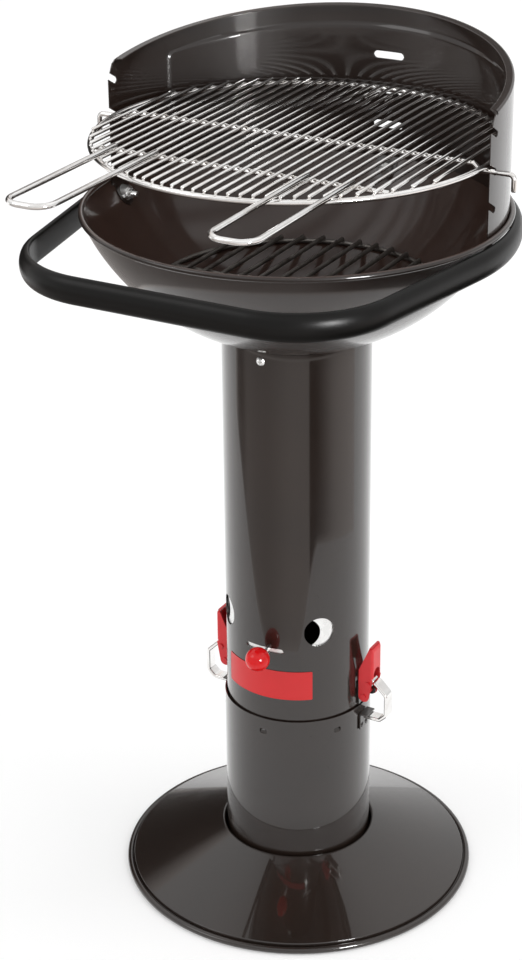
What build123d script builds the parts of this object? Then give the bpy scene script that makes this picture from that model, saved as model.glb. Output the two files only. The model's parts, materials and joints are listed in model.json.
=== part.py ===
from build123d import *
import os
from math import asin, atan2, cos, degrees, radians, sin, sqrt, tan

# A charcoal grill on a pedestal: foot, pot, column with a turning air sleeve, bowl, wind screen,
# handle bar and a loose wire grid. Millimetres, +Z up, front towards -Y, floor at Z 0.

# Sheet and clearances
SHEET = 1.2           # enamelled sheet of the foot, pot, column and bowl
SCREEN_SHEET = 1.0
SEAT_GAP = 0.3        # between pieces that lie on each other and come apart
PIN_GAP = 0.05        # radial play of a pin in its hole
BOLT_GAP = 0.3        # radial play of a screw in its hole
WELD_GAP = 0.05       # between wires that cross and are spot welded
WALL_CUT = 20.0       # reach of a cut through one wall

# Foot
FOOT_R = 200.5
FOOT_BEAD_R = 4.0
FOOT_FLAT = 0.4       # depth of the flat that the rolled rim stands on
FOOT_TOP_Z = 54.5
FOOT_LIP_R = 3.0      # bend round the opening
FOOT_SEAT_Z = 20.0
FOOT_SEAT_IN_R = 45.0
FOOT_PLAY = 1.9       # gap round the pot in the foot's opening

# Column tube
TUBE_R = 80.0
TUBE_LENGTH = 449.0
AIR_HOLE_R = 17.0
AIR_HOLE_RISE = 124.0     # above the foot of the tube
AIR_HOLES = 4
SLOT_WIDTH = 46.5
SLOT_HEIGHT = 6.0
SLOT_RISE = 100.3

# Pot
POT_PLAY = 1.3            # gap round the tube in the mouth of the pot
POT_DEPTH = 205.5
POT_BEND_R = 14.0
TUBE_SINK = 13.5          # how far the tube stands in the pot
TAB_COUNT = 6
TAB_WIDTH = 8.0
TAB_HEIGHT = 6.0
TAB_REACH = 1.2           # how far a tab stands in past the tube's wall
TAB_TIP = 1.9             # width of a tab's upper end
POT_STUD_RING_R = 57.0
POT_STUD_R = 3.0
POT_STUD_LENGTH = 16.0
POT_STUDS = 3

# Nuts and screws
NUT_AF = 10.0             # across flats, M6
NUT_HEIGHT = 5.0
SMALL_NUT_AF = 8.0        # across flats, M5
SMALL_NUT_HEIGHT = 4.0
NECK_SCREW_R = 2.5
NECK_SCREW_HEAD_R = 5.0
NECK_SCREW_HEAD = 3.0
NECK_SCREW_DROP = 10.0    # below the top of the tube
NECK_SCREWS = 3

# Air sleeve and lever
SLEEVE_PLAY = 0.4
SLEEVE_SHEET = 0.8
SLEEVE_HEIGHT = 68.0
SLEEVE_RISE = 78.0
SLEEVE_OFFSET = 11.4      # degrees that the sleeve's holes stand off the tube's holes
LEVER_ANGLE = 3.0         # degrees of the lever from the middle of its slot
STEM_R = 2.5
STEM_REACH = 10.8         # stem outside the tube
STEM_TAIL = 7.0           # stem inside the sleeve
KNOB_R = 13.4
KNOB_FLAT = 1.2

# Label
LABEL_ARC = 79.0
LABEL_HEIGHT = 35.0
LABEL_RISE = 41.0
LABEL_SHEET = 0.5

# Bowl
BOWL_RIM_R = 222.3        # outside of the sheet at the rolled rim
BOWL_DEPTH = 144.9        # from the rolled rim down to the lowest point of the bowl's ball
BOWL_BEAD_R = 3.0
NECK_LENGTH = 28.0
NECK_PLAY = 0.3

# Fire grate
GRATE_R = 150.0
GRATE_WIRE_R = 2.5
GRATE_BARS = 13
GRATE_EDGE = 24.0         # from the ring to the outermost bars

# Handle bar
HANDLE_HEIGHT = 29.0
HANDLE_DEPTH = 11.0
HANDLE_WALL = 1.5
HANDLE_GAP = 0.5          # below the rolled rim
HANDLE_PLAY = 0.6         # between the bar's inner face and the bowl
HANDLE_REACH = 50.9       # inner face at the front, past the round behind it
HANDLE_CORNER_R = 100.0
HANDLE_TURN = 10.0        # degrees in front of the sides where the arms leave the round
STUD_R = 3.0
STUD_LENGTH = 26.0
STUD_ANGLES = (91.5, 180.0, 268.5)
SPACER_R = 7.0
SADDLE_R = 8.0
SADDLE_IN = 5.0           # thickness of a saddle washer at its middle

# Wind screen
SCREEN_END = 87.4         # degrees from the front
SCREEN_RISE = 127.0       # top edge over the rolled rim, at the sides
SCREEN_SLOPE = 0.161      # rise of the top edge towards the back
HEM_WIDTH = 9.0
HEM_SHEET = 2.0
HEM_END = 3.4             # degrees from the ends
CORNER_CUT = 12.0         # cut corner at each end of the top edge
EAR_HEIGHT = 24.0
EAR_ARC = 6.4
NOTCH_SLOPE = 30.0
NOTCH_STEP = 38.5
NOTCH_PLAY = 0.65
REAR_SLOT_WIDTH = 36.0
REAR_SLOT_HEIGHT = 8.0

# Cooking grid
GRID_PLAY = 5.4           # round the ring inside the wind screen
GRID_RING_WIRE_R = 3.0
GRID_RISE = 72.0          # ring over the rolled rim
GRID_BAR_R = 2.0
GRID_BARS = 33
GRID_EDGE = 17.0          # from the ring to the outermost bars
CROSS_WIRE_R = 2.75
CROSS_Y = 3.0
CROSS_OUT = 20.0          # hook outside the screen
CROSS_DROP = 18.0
CROSS_BEND_R = 5.0
DIP_IN = 14.0             # the middle wire dips under the ring from here inwards
FRONT_WIRE_Y = -121.0
REAR_HOOK_WIRE_R = 2.0
REAR_HOOK_WIDTH = 24.0
REAR_HOOK_OUT = 3.0
REAR_HOOK_IN = 40.0
LOOP_BARS = (7, 11)       # each loop's legs lie on these bars, counted from the middle
LOOP_WIRE_R = 3.0
LOOP_OUT = 127.0          # tip of a loop in front of the ring
LOOP_LAP = 12.0           # legs end this far in front of the front wire
LOOP_BEND_R = 18.0

# Latches
PIVOT_OUT = 8.5           # lever pin from the tube
PIVOT_RISE = 28.0         # above the foot of the tube
LEVER_WIDTH = 22.0
LEVER_WALL = 1.6
LEVER_FOOT_R = 6.3
LEVER_LENGTH = 61.0
LEVER_DEPTH = 17.0
LEVER_TAPER = 28.0        # length at the top over which the side walls narrow
LEVER_TIP = 4.7           # depth of the lever at its top
LEVER_CAP = 3.0           # closed top
LEVER_CHAMFER = 2.0
LEVER_WEB_RISE = 24.0     # lower edge of the web above the pin
WINDOW_R = 8.0            # round window in the web
WINDOW_RISE = 27.0
CLAW_OUT = 5.0            # hook pin from the lever pin
CLAW_RISE = 17.0
CLAW_WIDTH = 14.0
CLAW_THICK = 4.0
CLAW_BULGE = 22.0
CLAW_BEND_R = 3.5         # inside of the strap
CLAW_UPPER_CUT = 12.0     # slanting part of the strap at its upper corner
CLAW_LOWER_CUT = 7.0
CLAW_EYE_R = 4.6
CLAW_TIP = 4.5            # tip of the hook from the pot
LATCH_PIN_R = 2.0
PIN_HEAD_R = 3.0
PIN_HEAD = 1.2
BRACKET_SHEET = 1.6
BRACKET_BELOW = 12.0
BRACKET_ABOVE = 16.0
BRACKET_EAR_R = 5.5
RIVET_R = 2.0
RIVET_HEAD_R = 3.2
RIVET_HEAD = 1.4
RIVET_EDGE = 4.5          # rivet from the edge of a plate
KEEPER_REACH = 9.5
KEEPER_SHEET = 1.6
KEEPER_HEIGHT = 20.0
KEEPER_DROP = 10.0        # top of the keeper under the pot's edge
KEEPER_WIDTH = 19.0

# Sizes that follow from the ones above
POT_R = TUBE_R + POT_PLAY + SHEET
POT_IN_R = POT_R - SHEET
POT_FLOOR_Z = FOOT_SEAT_Z
POT_TOP_Z = POT_FLOOR_Z + POT_DEPTH
TUBE_FOOT_Z = POT_TOP_Z - TUBE_SINK
TUBE_TOP_Z = TUBE_FOOT_Z + TUBE_LENGTH
TUBE_IN_R = TUBE_R - SHEET
SLEEVE_R = TUBE_IN_R - SLEEVE_PLAY
SLEEVE_IN_R = SLEEVE_R - SLEEVE_SHEET
SLOT_Z = TUBE_FOOT_Z + SLOT_RISE
AIR_HOLE_Z = TUBE_FOOT_Z + AIR_HOLE_RISE
NECK_R = TUBE_IN_R - NECK_PLAY
NECK_SCREW_Z = TUBE_TOP_Z - NECK_SCREW_DROP
BOWL_R = (BOWL_RIM_R**2 + BOWL_DEPTH**2) / (2 * BOWL_DEPTH)   # ball that the bowl is part of
BOWL_IN_R = BOWL_R - SHEET
BOWL_Z = TUBE_TOP_Z + SEAT_GAP + sqrt(BOWL_R**2 - TUBE_IN_R**2)   # centre of the ball
RIM_Z = BOWL_Z - BOWL_R + BOWL_DEPTH
BEAD_MID_R = BOWL_RIM_R - SHEET / 2
BEAD_Z = RIM_Z + BOWL_BEAD_R - SHEET
HANDLE_TOP_Z = BEAD_Z - BOWL_BEAD_R - HANDLE_GAP
HANDLE_Z = HANDLE_TOP_Z - HANDLE_HEIGHT / 2
HANDLE_IN_R = sqrt(BOWL_R**2 - (BOWL_Z - HANDLE_TOP_Z)**2) + HANDLE_PLAY
HANDLE_FRONT = HANDLE_IN_R + HANDLE_REACH
GRATE_PITCH = 2 * (GRATE_R - GRATE_EDGE) / (GRATE_BARS - 1)
GRATE_Z = BOWL_Z - sqrt((BOWL_IN_R - GRATE_WIRE_R - SEAT_GAP)**2 - GRATE_R**2)
EAR_OUT_R = BOWL_IN_R - SEAT_GAP
EAR_IN_R = EAR_OUT_R - SCREEN_SHEET
SCREEN_R = BEAD_MID_R - BOWL_BEAD_R - SEAT_GAP
SCREEN_MID_Z = BEAD_Z + SCREEN_RISE
SCREEN_FOOT_Z = BOWL_Z - sqrt(EAR_OUT_R**2 - SCREEN_R**2)
GRID_RING_R = SCREEN_R - SCREEN_SHEET - GRID_PLAY - GRID_RING_WIRE_R
GRID_PITCH = 2 * (GRID_RING_R - GRID_EDGE) / (GRID_BARS - 1)
GRID_Z = BEAD_Z + GRID_RISE
BAR_Z = GRID_Z + GRID_RING_WIRE_R + WELD_GAP + GRID_BAR_R
HOOK_Z = GRID_Z - GRID_RING_WIRE_R - WELD_GAP - CROSS_WIRE_R
CROSS_Z = BAR_Z - GRID_BAR_R - WELD_GAP - CROSS_WIRE_R
LOOP_Z = BAR_Z + GRID_BAR_R + WELD_GAP + LOOP_WIRE_R
REAR_HOOK_Z = GRID_Z - GRID_RING_WIRE_R - WELD_GAP - REAR_HOOK_WIRE_R
PIVOT_R = TUBE_R + PIVOT_OUT
PIVOT_Z = TUBE_FOOT_Z + PIVOT_RISE
CLAW_PIVOT_R = PIVOT_R + CLAW_OUT
CLAW_PIVOT_Z = PIVOT_Z + CLAW_RISE
PLATE_FACE_R = TUBE_R + SEAT_GAP + BRACKET_SHEET
KEEPER_R = POT_R + SEAT_GAP
KEEPER_TOP_Z = POT_TOP_Z - KEEPER_DROP
KEEPER_FOOT_Z = KEEPER_TOP_Z - KEEPER_HEIGHT
TOE_TOP_Z = KEEPER_TOP_Z - KEEPER_SHEET - SEAT_GAP
BRACKET_RIVETS = (PIVOT_Z - BRACKET_BELOW + RIVET_EDGE, PIVOT_Z + BRACKET_ABOVE - RIVET_EDGE)
KEEPER_RIVET_Z = KEEPER_FOOT_Z + RIVET_EDGE
KEEPER_RIVETS = (RIVET_EDGE - KEEPER_WIDTH / 2, KEEPER_WIDTH / 2 - RIVET_EDGE)
SIDES = (("right", 1), ("left", -1))

os.makedirs("parts", exist_ok=True)


def outward(angle):
    """Direction away from the column's axis, at an angle from the front towards +X."""
    return Vector(sin(radians(angle)), -cos(radians(angle)), 0)


def upright(angle, z=0):
    """Plane through the axis: its x runs outward at the angle, its y runs up."""
    out = outward(angle)
    return Plane(origin=(0, 0, z), x_dir=out, z_dir=out.cross(Vector(0, 0, 1)))


def facing(angle, reach, z, shift=0.0):
    """Plane that faces outward at a distance from the axis, its y up and its x to the right."""
    out = outward(angle)
    right = Vector(0, 0, 1).cross(out)
    return Plane(origin=out * reach + right * shift + Vector(0, 0, z), x_dir=right, z_dir=out)


def around(count, first=0.0):
    """Evenly spaced angles round the column."""
    return [first + 360.0 * step / count for step in range(count)]


def rod(plane, radius, length):
    """Round bar that starts on the plane and runs along its normal."""
    with BuildSketch(plane) as section:
        Circle(radius)
    extrude(section.sketch, amount=length)


def dome(plane, radius, height):
    """Rounded screw or rivet head that sits on the plane: a slice of a ball."""
    ball = (radius**2 + height**2) / (2 * height)
    spread = degrees(atan2(radius, ball - height))
    with BuildSketch(Plane(origin=plane.origin, x_dir=plane.z_dir, z_dir=plane.x_dir)) as slice_face:
        with BuildLine():
            CenterArc((height - ball, 0), ball, 0, spread)
            Polyline((height, 0), (0, 0), (0, radius))
        make_face()
    revolve(slice_face.sketch, axis=Axis(plane.origin, plane.z_dir))


def rivet(angle, shift, z, face_r, wall_r):
    """Rivet through a plate's outer face and the round wall behind it, with a flat tail inside."""
    tail_r = sqrt(wall_r**2 - (abs(shift) + RIVET_HEAD_R)**2) - PIN_GAP - RIVET_HEAD
    rod(facing(angle, tail_r, z, shift), RIVET_HEAD_R, RIVET_HEAD)
    rod(facing(angle, tail_r, z, shift), RIVET_R, face_r - tail_r + PIN_GAP)
    dome(facing(angle, face_r + PIN_GAP, z, shift), RIVET_HEAD_R, RIVET_HEAD)


def hex_nut(plane, across, height, bore):
    """Nut that sits on the plane, open round its thread."""
    with BuildSketch(plane) as section:
        RegularPolygon(across / 2, 6, major_radius=False)
        Circle(bore, mode=Mode.SUBTRACT)
    extrude(section.sketch, amount=height)


def save(piece, name):
    """Labels a finished piece and writes it."""
    piece.part.label = name
    export_step(piece.part, f"parts/{name}.step")


# Foot: one sheet from the seat under the pot, up round the opening and down to the rolled rim
opening_r = POT_R + FOOT_PLAY
bead_r = FOOT_R - FOOT_BEAD_R
bead_z = FOOT_BEAD_R - FOOT_FLAT
with BuildPart() as base_cone:
    with BuildSketch(Plane.XZ):
        with BuildLine():
            FilletPolyline(
                (FOOT_SEAT_IN_R, FOOT_SEAT_Z),
                (opening_r, FOOT_SEAT_Z),
                (opening_r, FOOT_TOP_Z),
                (bead_r, bead_z + FOOT_BEAD_R),
                radius=FOOT_LIP_R,
            )
            offset(amount=SHEET, side=Side.RIGHT)
        make_face()
        with Locations((bead_r, bead_z)):
            Circle(FOOT_BEAD_R)
        with Locations((bead_r, 0)):
            Rectangle(4 * FOOT_BEAD_R, 2 * FOOT_BEAD_R, align=(Align.CENTER, Align.MAX), mode=Mode.SUBTRACT)
    revolve(axis=Axis.Z)
    with BuildSketch(Plane.XY.offset(FOOT_SEAT_Z)):
        with PolarLocations(POT_STUD_RING_R, POT_STUDS):
            Circle(POT_STUD_R + BOLT_GAP)
    extrude(amount=2 * SHEET, both=True, mode=Mode.SUBTRACT)
save(base_cone, "base_cone")

# Pot: deep cup whose lanced tabs carry the tube
with BuildPart() as ash_pot:
    with BuildSketch(Plane.XZ):
        with BuildLine():
            FilletPolyline(
                (0, POT_FLOOR_Z),
                (POT_R, POT_FLOOR_Z),
                (POT_R, POT_TOP_Z),
                radius=POT_BEND_R,
            )
            offset(amount=SHEET, side=Side.LEFT)
        make_face()
    revolve(axis=Axis.Z)
    for angle in around(TAB_COUNT):
        with BuildSketch(facing(angle, POT_R, TUBE_FOOT_Z - TAB_HEIGHT / 2)):
            Rectangle(TAB_WIDTH, TAB_HEIGHT)
        extrude(amount=2 * SHEET, both=True, mode=Mode.SUBTRACT)
    for angle in around(TAB_COUNT):
        with BuildSketch(upright(angle)):
            with BuildLine():
                Polyline(
                    (POT_R - SHEET / 2, TUBE_FOOT_Z - TAB_HEIGHT - SHEET),
                    (POT_IN_R, TUBE_FOOT_Z - TAB_HEIGHT - SHEET),
                    (TUBE_IN_R - TAB_REACH, TUBE_FOOT_Z - SEAT_GAP),
                    (TUBE_IN_R - TAB_REACH + TAB_TIP, TUBE_FOOT_Z - SEAT_GAP),
                    (POT_R - SHEET / 2, TUBE_FOOT_Z - TAB_HEIGHT),
                    close=True,
                )
            make_face()
        extrude(amount=TAB_WIDTH / 2, both=True)
    with BuildSketch(Plane.XY.offset(POT_FLOOR_Z)):
        with PolarLocations(POT_STUD_RING_R, POT_STUDS):
            Circle(POT_STUD_R + BOLT_GAP)
    extrude(amount=2 * SHEET, both=True, mode=Mode.SUBTRACT)
    for side, mark in SIDES:
        with BuildSketch(facing(90 * mark, POT_R, KEEPER_RIVET_Z)):
            with Locations(*[(shift, 0) for shift in KEEPER_RIVETS]):
                Circle(RIVET_R + PIN_GAP)
        extrude(amount=WALL_CUT, both=True, mode=Mode.SUBTRACT)
save(ash_pot, "ash_pot")

# Screws that hold the pot on the foot, with their nuts under the seat
stud_head_z = POT_FLOOR_Z + SHEET
with BuildPart() as pot_studs:
    with PolarLocations(POT_STUD_RING_R, POT_STUDS):
        with Locations((0, 0, stud_head_z)):
            Cylinder(2 * POT_STUD_R, POT_STUD_R, align=(Align.CENTER, Align.CENTER, Align.MIN))
            Cylinder(POT_STUD_R, POT_STUD_LENGTH, align=(Align.CENTER, Align.CENTER, Align.MAX))
save(pot_studs, "pot_studs")

with BuildPart() as base_nuts:
    with BuildSketch(Plane.XY.offset(FOOT_SEAT_Z - SHEET)):
        with PolarLocations(POT_STUD_RING_R, POT_STUDS):
            RegularPolygon(NUT_AF / 2, 6, major_radius=False)
            Circle(POT_STUD_R + PIN_GAP, mode=Mode.SUBTRACT)
    extrude(amount=-NUT_HEIGHT)
save(base_nuts, "base_nuts")

# Column tube with its air holes, lever slot, screw holes and rivet holes
with BuildPart() as column_tube:
    with BuildSketch(Plane.XY.offset(TUBE_FOOT_Z)):
        Circle(TUBE_R)
        Circle(TUBE_IN_R, mode=Mode.SUBTRACT)
    extrude(amount=TUBE_LENGTH)
    for angle in around(AIR_HOLES, 180.0 / AIR_HOLES):
        with BuildSketch(facing(angle, TUBE_R, AIR_HOLE_Z)):
            Circle(AIR_HOLE_R)
        extrude(amount=WALL_CUT, both=True, mode=Mode.SUBTRACT)
    with BuildSketch(facing(0, TUBE_R, SLOT_Z)):
        SlotOverall(SLOT_WIDTH, SLOT_HEIGHT)
    extrude(amount=WALL_CUT, both=True, mode=Mode.SUBTRACT)
    for angle in around(NECK_SCREWS):
        with BuildSketch(facing(angle, TUBE_R, NECK_SCREW_Z)):
            Circle(NECK_SCREW_R + BOLT_GAP)
        extrude(amount=WALL_CUT, both=True, mode=Mode.SUBTRACT)
    for side, mark in SIDES:
        for height in BRACKET_RIVETS:
            with BuildSketch(facing(90 * mark, TUBE_R, height)):
                Circle(RIVET_R + PIN_GAP)
            extrude(amount=WALL_CUT, both=True, mode=Mode.SUBTRACT)
save(column_tube, "column_tube")

# Label: thin curved plate on the front of the tube
with BuildPart() as front_label:
    with BuildSketch(upright(-LABEL_ARC / 2, TUBE_FOOT_Z + LABEL_RISE)):
        with Locations((TUBE_R + PIN_GAP, 0)):
            Rectangle(LABEL_SHEET, LABEL_HEIGHT, align=(Align.MIN, Align.MIN))
    revolve(axis=Axis.Z, revolution_arc=LABEL_ARC)
save(front_label, "front_label")

# Air sleeve that turns inside the tube, its stem, nut and ball
sleeve_foot_z = TUBE_FOOT_Z + SLEEVE_RISE
with BuildPart() as air_sleeve:
    with BuildSketch(Plane.XY.offset(sleeve_foot_z)):
        Circle(SLEEVE_R)
        Circle(SLEEVE_IN_R, mode=Mode.SUBTRACT)
    extrude(amount=SLEEVE_HEIGHT)
    for angle in around(AIR_HOLES, 180.0 / AIR_HOLES - SLEEVE_OFFSET):
        with BuildSketch(facing(angle, SLEEVE_R, AIR_HOLE_Z)):
            Circle(AIR_HOLE_R)
        extrude(amount=WALL_CUT, both=True, mode=Mode.SUBTRACT)
    with BuildSketch(facing(LEVER_ANGLE, SLEEVE_R, SLOT_Z)):
        Circle(STEM_R + PIN_GAP)
    extrude(amount=WALL_CUT, both=True, mode=Mode.SUBTRACT)
save(air_sleeve, "air_sleeve")

knob_face_r = TUBE_R + STEM_REACH
stem_tail_r = SLEEVE_IN_R - STEM_TAIL
with BuildPart() as lever_stem:
    rod(facing(LEVER_ANGLE, stem_tail_r, SLOT_Z), STEM_R, knob_face_r + KNOB_R / 2 - stem_tail_r)
save(lever_stem, "lever_stem")

nut_seat_r = sqrt(SLEEVE_IN_R**2 - (SMALL_NUT_AF / 2)**2) - SEAT_GAP
with BuildPart() as stem_nut:
    seat = facing(LEVER_ANGLE, nut_seat_r - SMALL_NUT_HEIGHT, SLOT_Z)
    hex_nut(seat, SMALL_NUT_AF, SMALL_NUT_HEIGHT, STEM_R + PIN_GAP)
save(stem_nut, "stem_nut")

knob_mid_r = knob_face_r + KNOB_R - KNOB_FLAT
with BuildPart() as lever_knob:
    with Locations(facing(LEVER_ANGLE, knob_mid_r, SLOT_Z).location):
        Sphere(KNOB_R)
    split(bisect_by=facing(LEVER_ANGLE, knob_face_r, SLOT_Z), keep=Keep.TOP)
    with BuildSketch(facing(LEVER_ANGLE, knob_face_r, SLOT_Z)):
        Circle(STEM_R + PIN_GAP)
    extrude(amount=KNOB_R / 2 + PIN_GAP, mode=Mode.SUBTRACT)
save(lever_knob, "lever_knob")


def ball_angle(radius, ball):
    """Angle of a point on the bowl's ball below its centre, at a distance from the axis."""
    return -degrees(atan2(sqrt(ball**2 - radius**2), radius))


# Bowl: part of a ball with a neck that stands in the tube and a rolled rim
rim_in_r = sqrt(BOWL_IN_R**2 - (BOWL_Z - RIM_Z)**2)
neck_foot_z = TUBE_TOP_Z - NECK_LENGTH
neck_in_r = NECK_R - SHEET
with BuildPart() as fire_bowl:
    with BuildSketch(Plane.XZ):
        with BuildLine():
            outer_start = ball_angle(NECK_R, BOWL_R)
            outer_size = ball_angle(BOWL_RIM_R, BOWL_R) - outer_start
            outer = CenterArc((0, BOWL_Z), BOWL_R, outer_start, outer_size)
            inner_start = ball_angle(neck_in_r, BOWL_IN_R)
            inner_size = ball_angle(rim_in_r, BOWL_IN_R) - inner_start
            inner = CenterArc((0, BOWL_Z), BOWL_IN_R, inner_start, inner_size)
            Line(outer @ 1, inner @ 1)
            Polyline(outer @ 0, (NECK_R, neck_foot_z), (neck_in_r, neck_foot_z), inner @ 0)
        make_face()
        with Locations((BEAD_MID_R, BEAD_Z)):
            Circle(BOWL_BEAD_R)
    revolve(axis=Axis.Z)
    for angle in around(NECK_SCREWS):
        with BuildSketch(facing(angle, NECK_R, NECK_SCREW_Z)):
            Circle(NECK_SCREW_R + BOLT_GAP)
        extrude(amount=WALL_CUT, both=True, mode=Mode.SUBTRACT)
    for angle in STUD_ANGLES:
        with BuildSketch(facing(angle, BOWL_RIM_R, HANDLE_Z)):
            Circle(STUD_R + BOLT_GAP)
        extrude(amount=WALL_CUT, both=True, mode=Mode.SUBTRACT)
save(fire_bowl, "fire_bowl")

# Screws through tube and neck, nuts inside
neck_nut_r = sqrt(neck_in_r**2 - (SMALL_NUT_AF / 2)**2) - SEAT_GAP
neck_tip_r = neck_nut_r - SMALL_NUT_HEIGHT - SHEET
with BuildPart() as neck_screws:
    for angle in around(NECK_SCREWS):
        rod(facing(angle, neck_tip_r, NECK_SCREW_Z), NECK_SCREW_R, TUBE_R + SHEET - neck_tip_r)
        dome(facing(angle, TUBE_R + PIN_GAP, NECK_SCREW_Z), NECK_SCREW_HEAD_R, NECK_SCREW_HEAD)
save(neck_screws, "neck_screws")

with BuildPart() as neck_nuts:
    for angle in around(NECK_SCREWS):
        seat = facing(angle, neck_nut_r - SMALL_NUT_HEIGHT, NECK_SCREW_Z)
        hex_nut(seat, SMALL_NUT_AF, SMALL_NUT_HEIGHT, NECK_SCREW_R + PIN_GAP)
save(neck_nuts, "neck_nuts")

# Fire grate: ring, bars on top of it and one wire under the bars
with BuildPart() as grate_ring:
    with Locations((0, 0, GRATE_Z)):
        Torus(GRATE_R, GRATE_WIRE_R)
save(grate_ring, "grate_ring")

with BuildPart() as grate_bars:
    for step in range(GRATE_BARS):
        place = (step - (GRATE_BARS - 1) / 2) * GRATE_PITCH
        with Locations((place, 0, GRATE_Z + 2 * GRATE_WIRE_R + WELD_GAP)):
            Cylinder(GRATE_WIRE_R, 2 * sqrt(GRATE_R**2 - place**2), rotation=(90, 0, 0))
save(grate_bars, "grate_bars")

with BuildPart() as grate_cross_wire:
    with Locations((0, 0, GRATE_Z)):
        Cylinder(GRATE_WIRE_R, 2 * (GRATE_R - GRATE_WIRE_R - SEAT_GAP), rotation=(0, 90, 0))
save(grate_cross_wire, "grate_cross_wire")


def half_oval(flat, depth, half_height, mode):
    """D-shaped face: a flat side and half an oval."""
    with BuildLine() as outline:
        Line((flat, -half_height), (flat, half_height))
        EllipticalCenterArc((flat, 0), depth, half_height, start_angle=-90, arc_size=180)
    make_face(outline.edges(), mode=mode)


# Handle bar: D-shaped tube round the bowl, standing out at the front
turn = radians(HANDLE_TURN)
arm_back = Vector(HANDLE_IN_R * cos(turn), -HANDLE_IN_R * sin(turn))
arm_corner = Vector(arm_back.X - tan(turn) * (HANDLE_FRONT + arm_back.Y), -HANDLE_FRONT)
corner_run = HANDLE_CORNER_R * tan((radians(90) - turn) / 2)
arm_front = arm_corner + Vector(sin(turn), cos(turn)) * corner_run
with BuildPart() as handle_bar:
    with BuildLine(Plane.XY.offset(HANDLE_Z)):
        front = Line((0, -HANDLE_FRONT), (arm_corner.X - corner_run, -HANDLE_FRONT))
        corner = TangentArc(front @ 1, (arm_front.X, arm_front.Y), tangent=front % 1)
        Line(corner @ 1, (arm_back.X, arm_back.Y))
        CenterArc((0, 0), HANDLE_IN_R, -HANDLE_TURN, 90 + HANDLE_TURN)
    with BuildSketch(Plane(origin=(0, -HANDLE_FRONT, HANDLE_Z), x_dir=(0, -1, 0), z_dir=(1, 0, 0))):
        half_oval(0, HANDLE_DEPTH, HANDLE_HEIGHT / 2, Mode.ADD)
        half_oval(HANDLE_WALL, HANDLE_DEPTH - 2 * HANDLE_WALL, HANDLE_HEIGHT / 2 - HANDLE_WALL, Mode.SUBTRACT)
    sweep()
    mirror(about=Plane.YZ)
save(handle_bar, "handle_bar")

# Studs on the bar go through a spacer, the bowl, the screen's ear and a saddle washer to a nut
stud_out_r = sqrt(HANDLE_IN_R**2 - SPACER_R**2) - PIN_GAP
stud_tip_r = stud_out_r - STUD_LENGTH
ear_mid_r = sqrt(EAR_IN_R**2 - (BOWL_Z - HANDLE_Z)**2)
saddle_face_r = ear_mid_r - SADDLE_IN
with BuildPart() as handle_studs:
    for angle in STUD_ANGLES:
        rod(facing(angle, stud_tip_r, HANDLE_Z), STUD_R, STUD_LENGTH)
save(handle_studs, "handle_studs")

with BuildPart() as handle_spacers:
    for angle in STUD_ANGLES:
        with BuildSketch(facing(angle, stud_out_r, HANDLE_Z)):
            Circle(SPACER_R)
            Circle(STUD_R + BOLT_GAP, mode=Mode.SUBTRACT)
        extrude(amount=-WALL_CUT)
    with Locations((0, 0, BOWL_Z)):
        Sphere(BOWL_R + SEAT_GAP, mode=Mode.SUBTRACT)
save(handle_spacers, "handle_spacers")

with BuildPart() as saddle_washers:
    for angle in STUD_ANGLES:
        with BuildSketch(facing(angle, saddle_face_r, HANDLE_Z)):
            Circle(SADDLE_R)
            Circle(STUD_R + BOLT_GAP, mode=Mode.SUBTRACT)
        extrude(amount=WALL_CUT)
    with Locations((0, 0, BOWL_Z)):
        Sphere(EAR_IN_R - SEAT_GAP, mode=Mode.INTERSECT)
save(saddle_washers, "saddle_washers")

with BuildPart() as handle_nuts:
    for angle in STUD_ANGLES:
        hex_nut(facing(angle, saddle_face_r - NUT_HEIGHT, HANDLE_Z), NUT_AF, NUT_HEIGHT, STUD_R + PIN_GAP)
save(handle_nuts, "handle_nuts")

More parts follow.
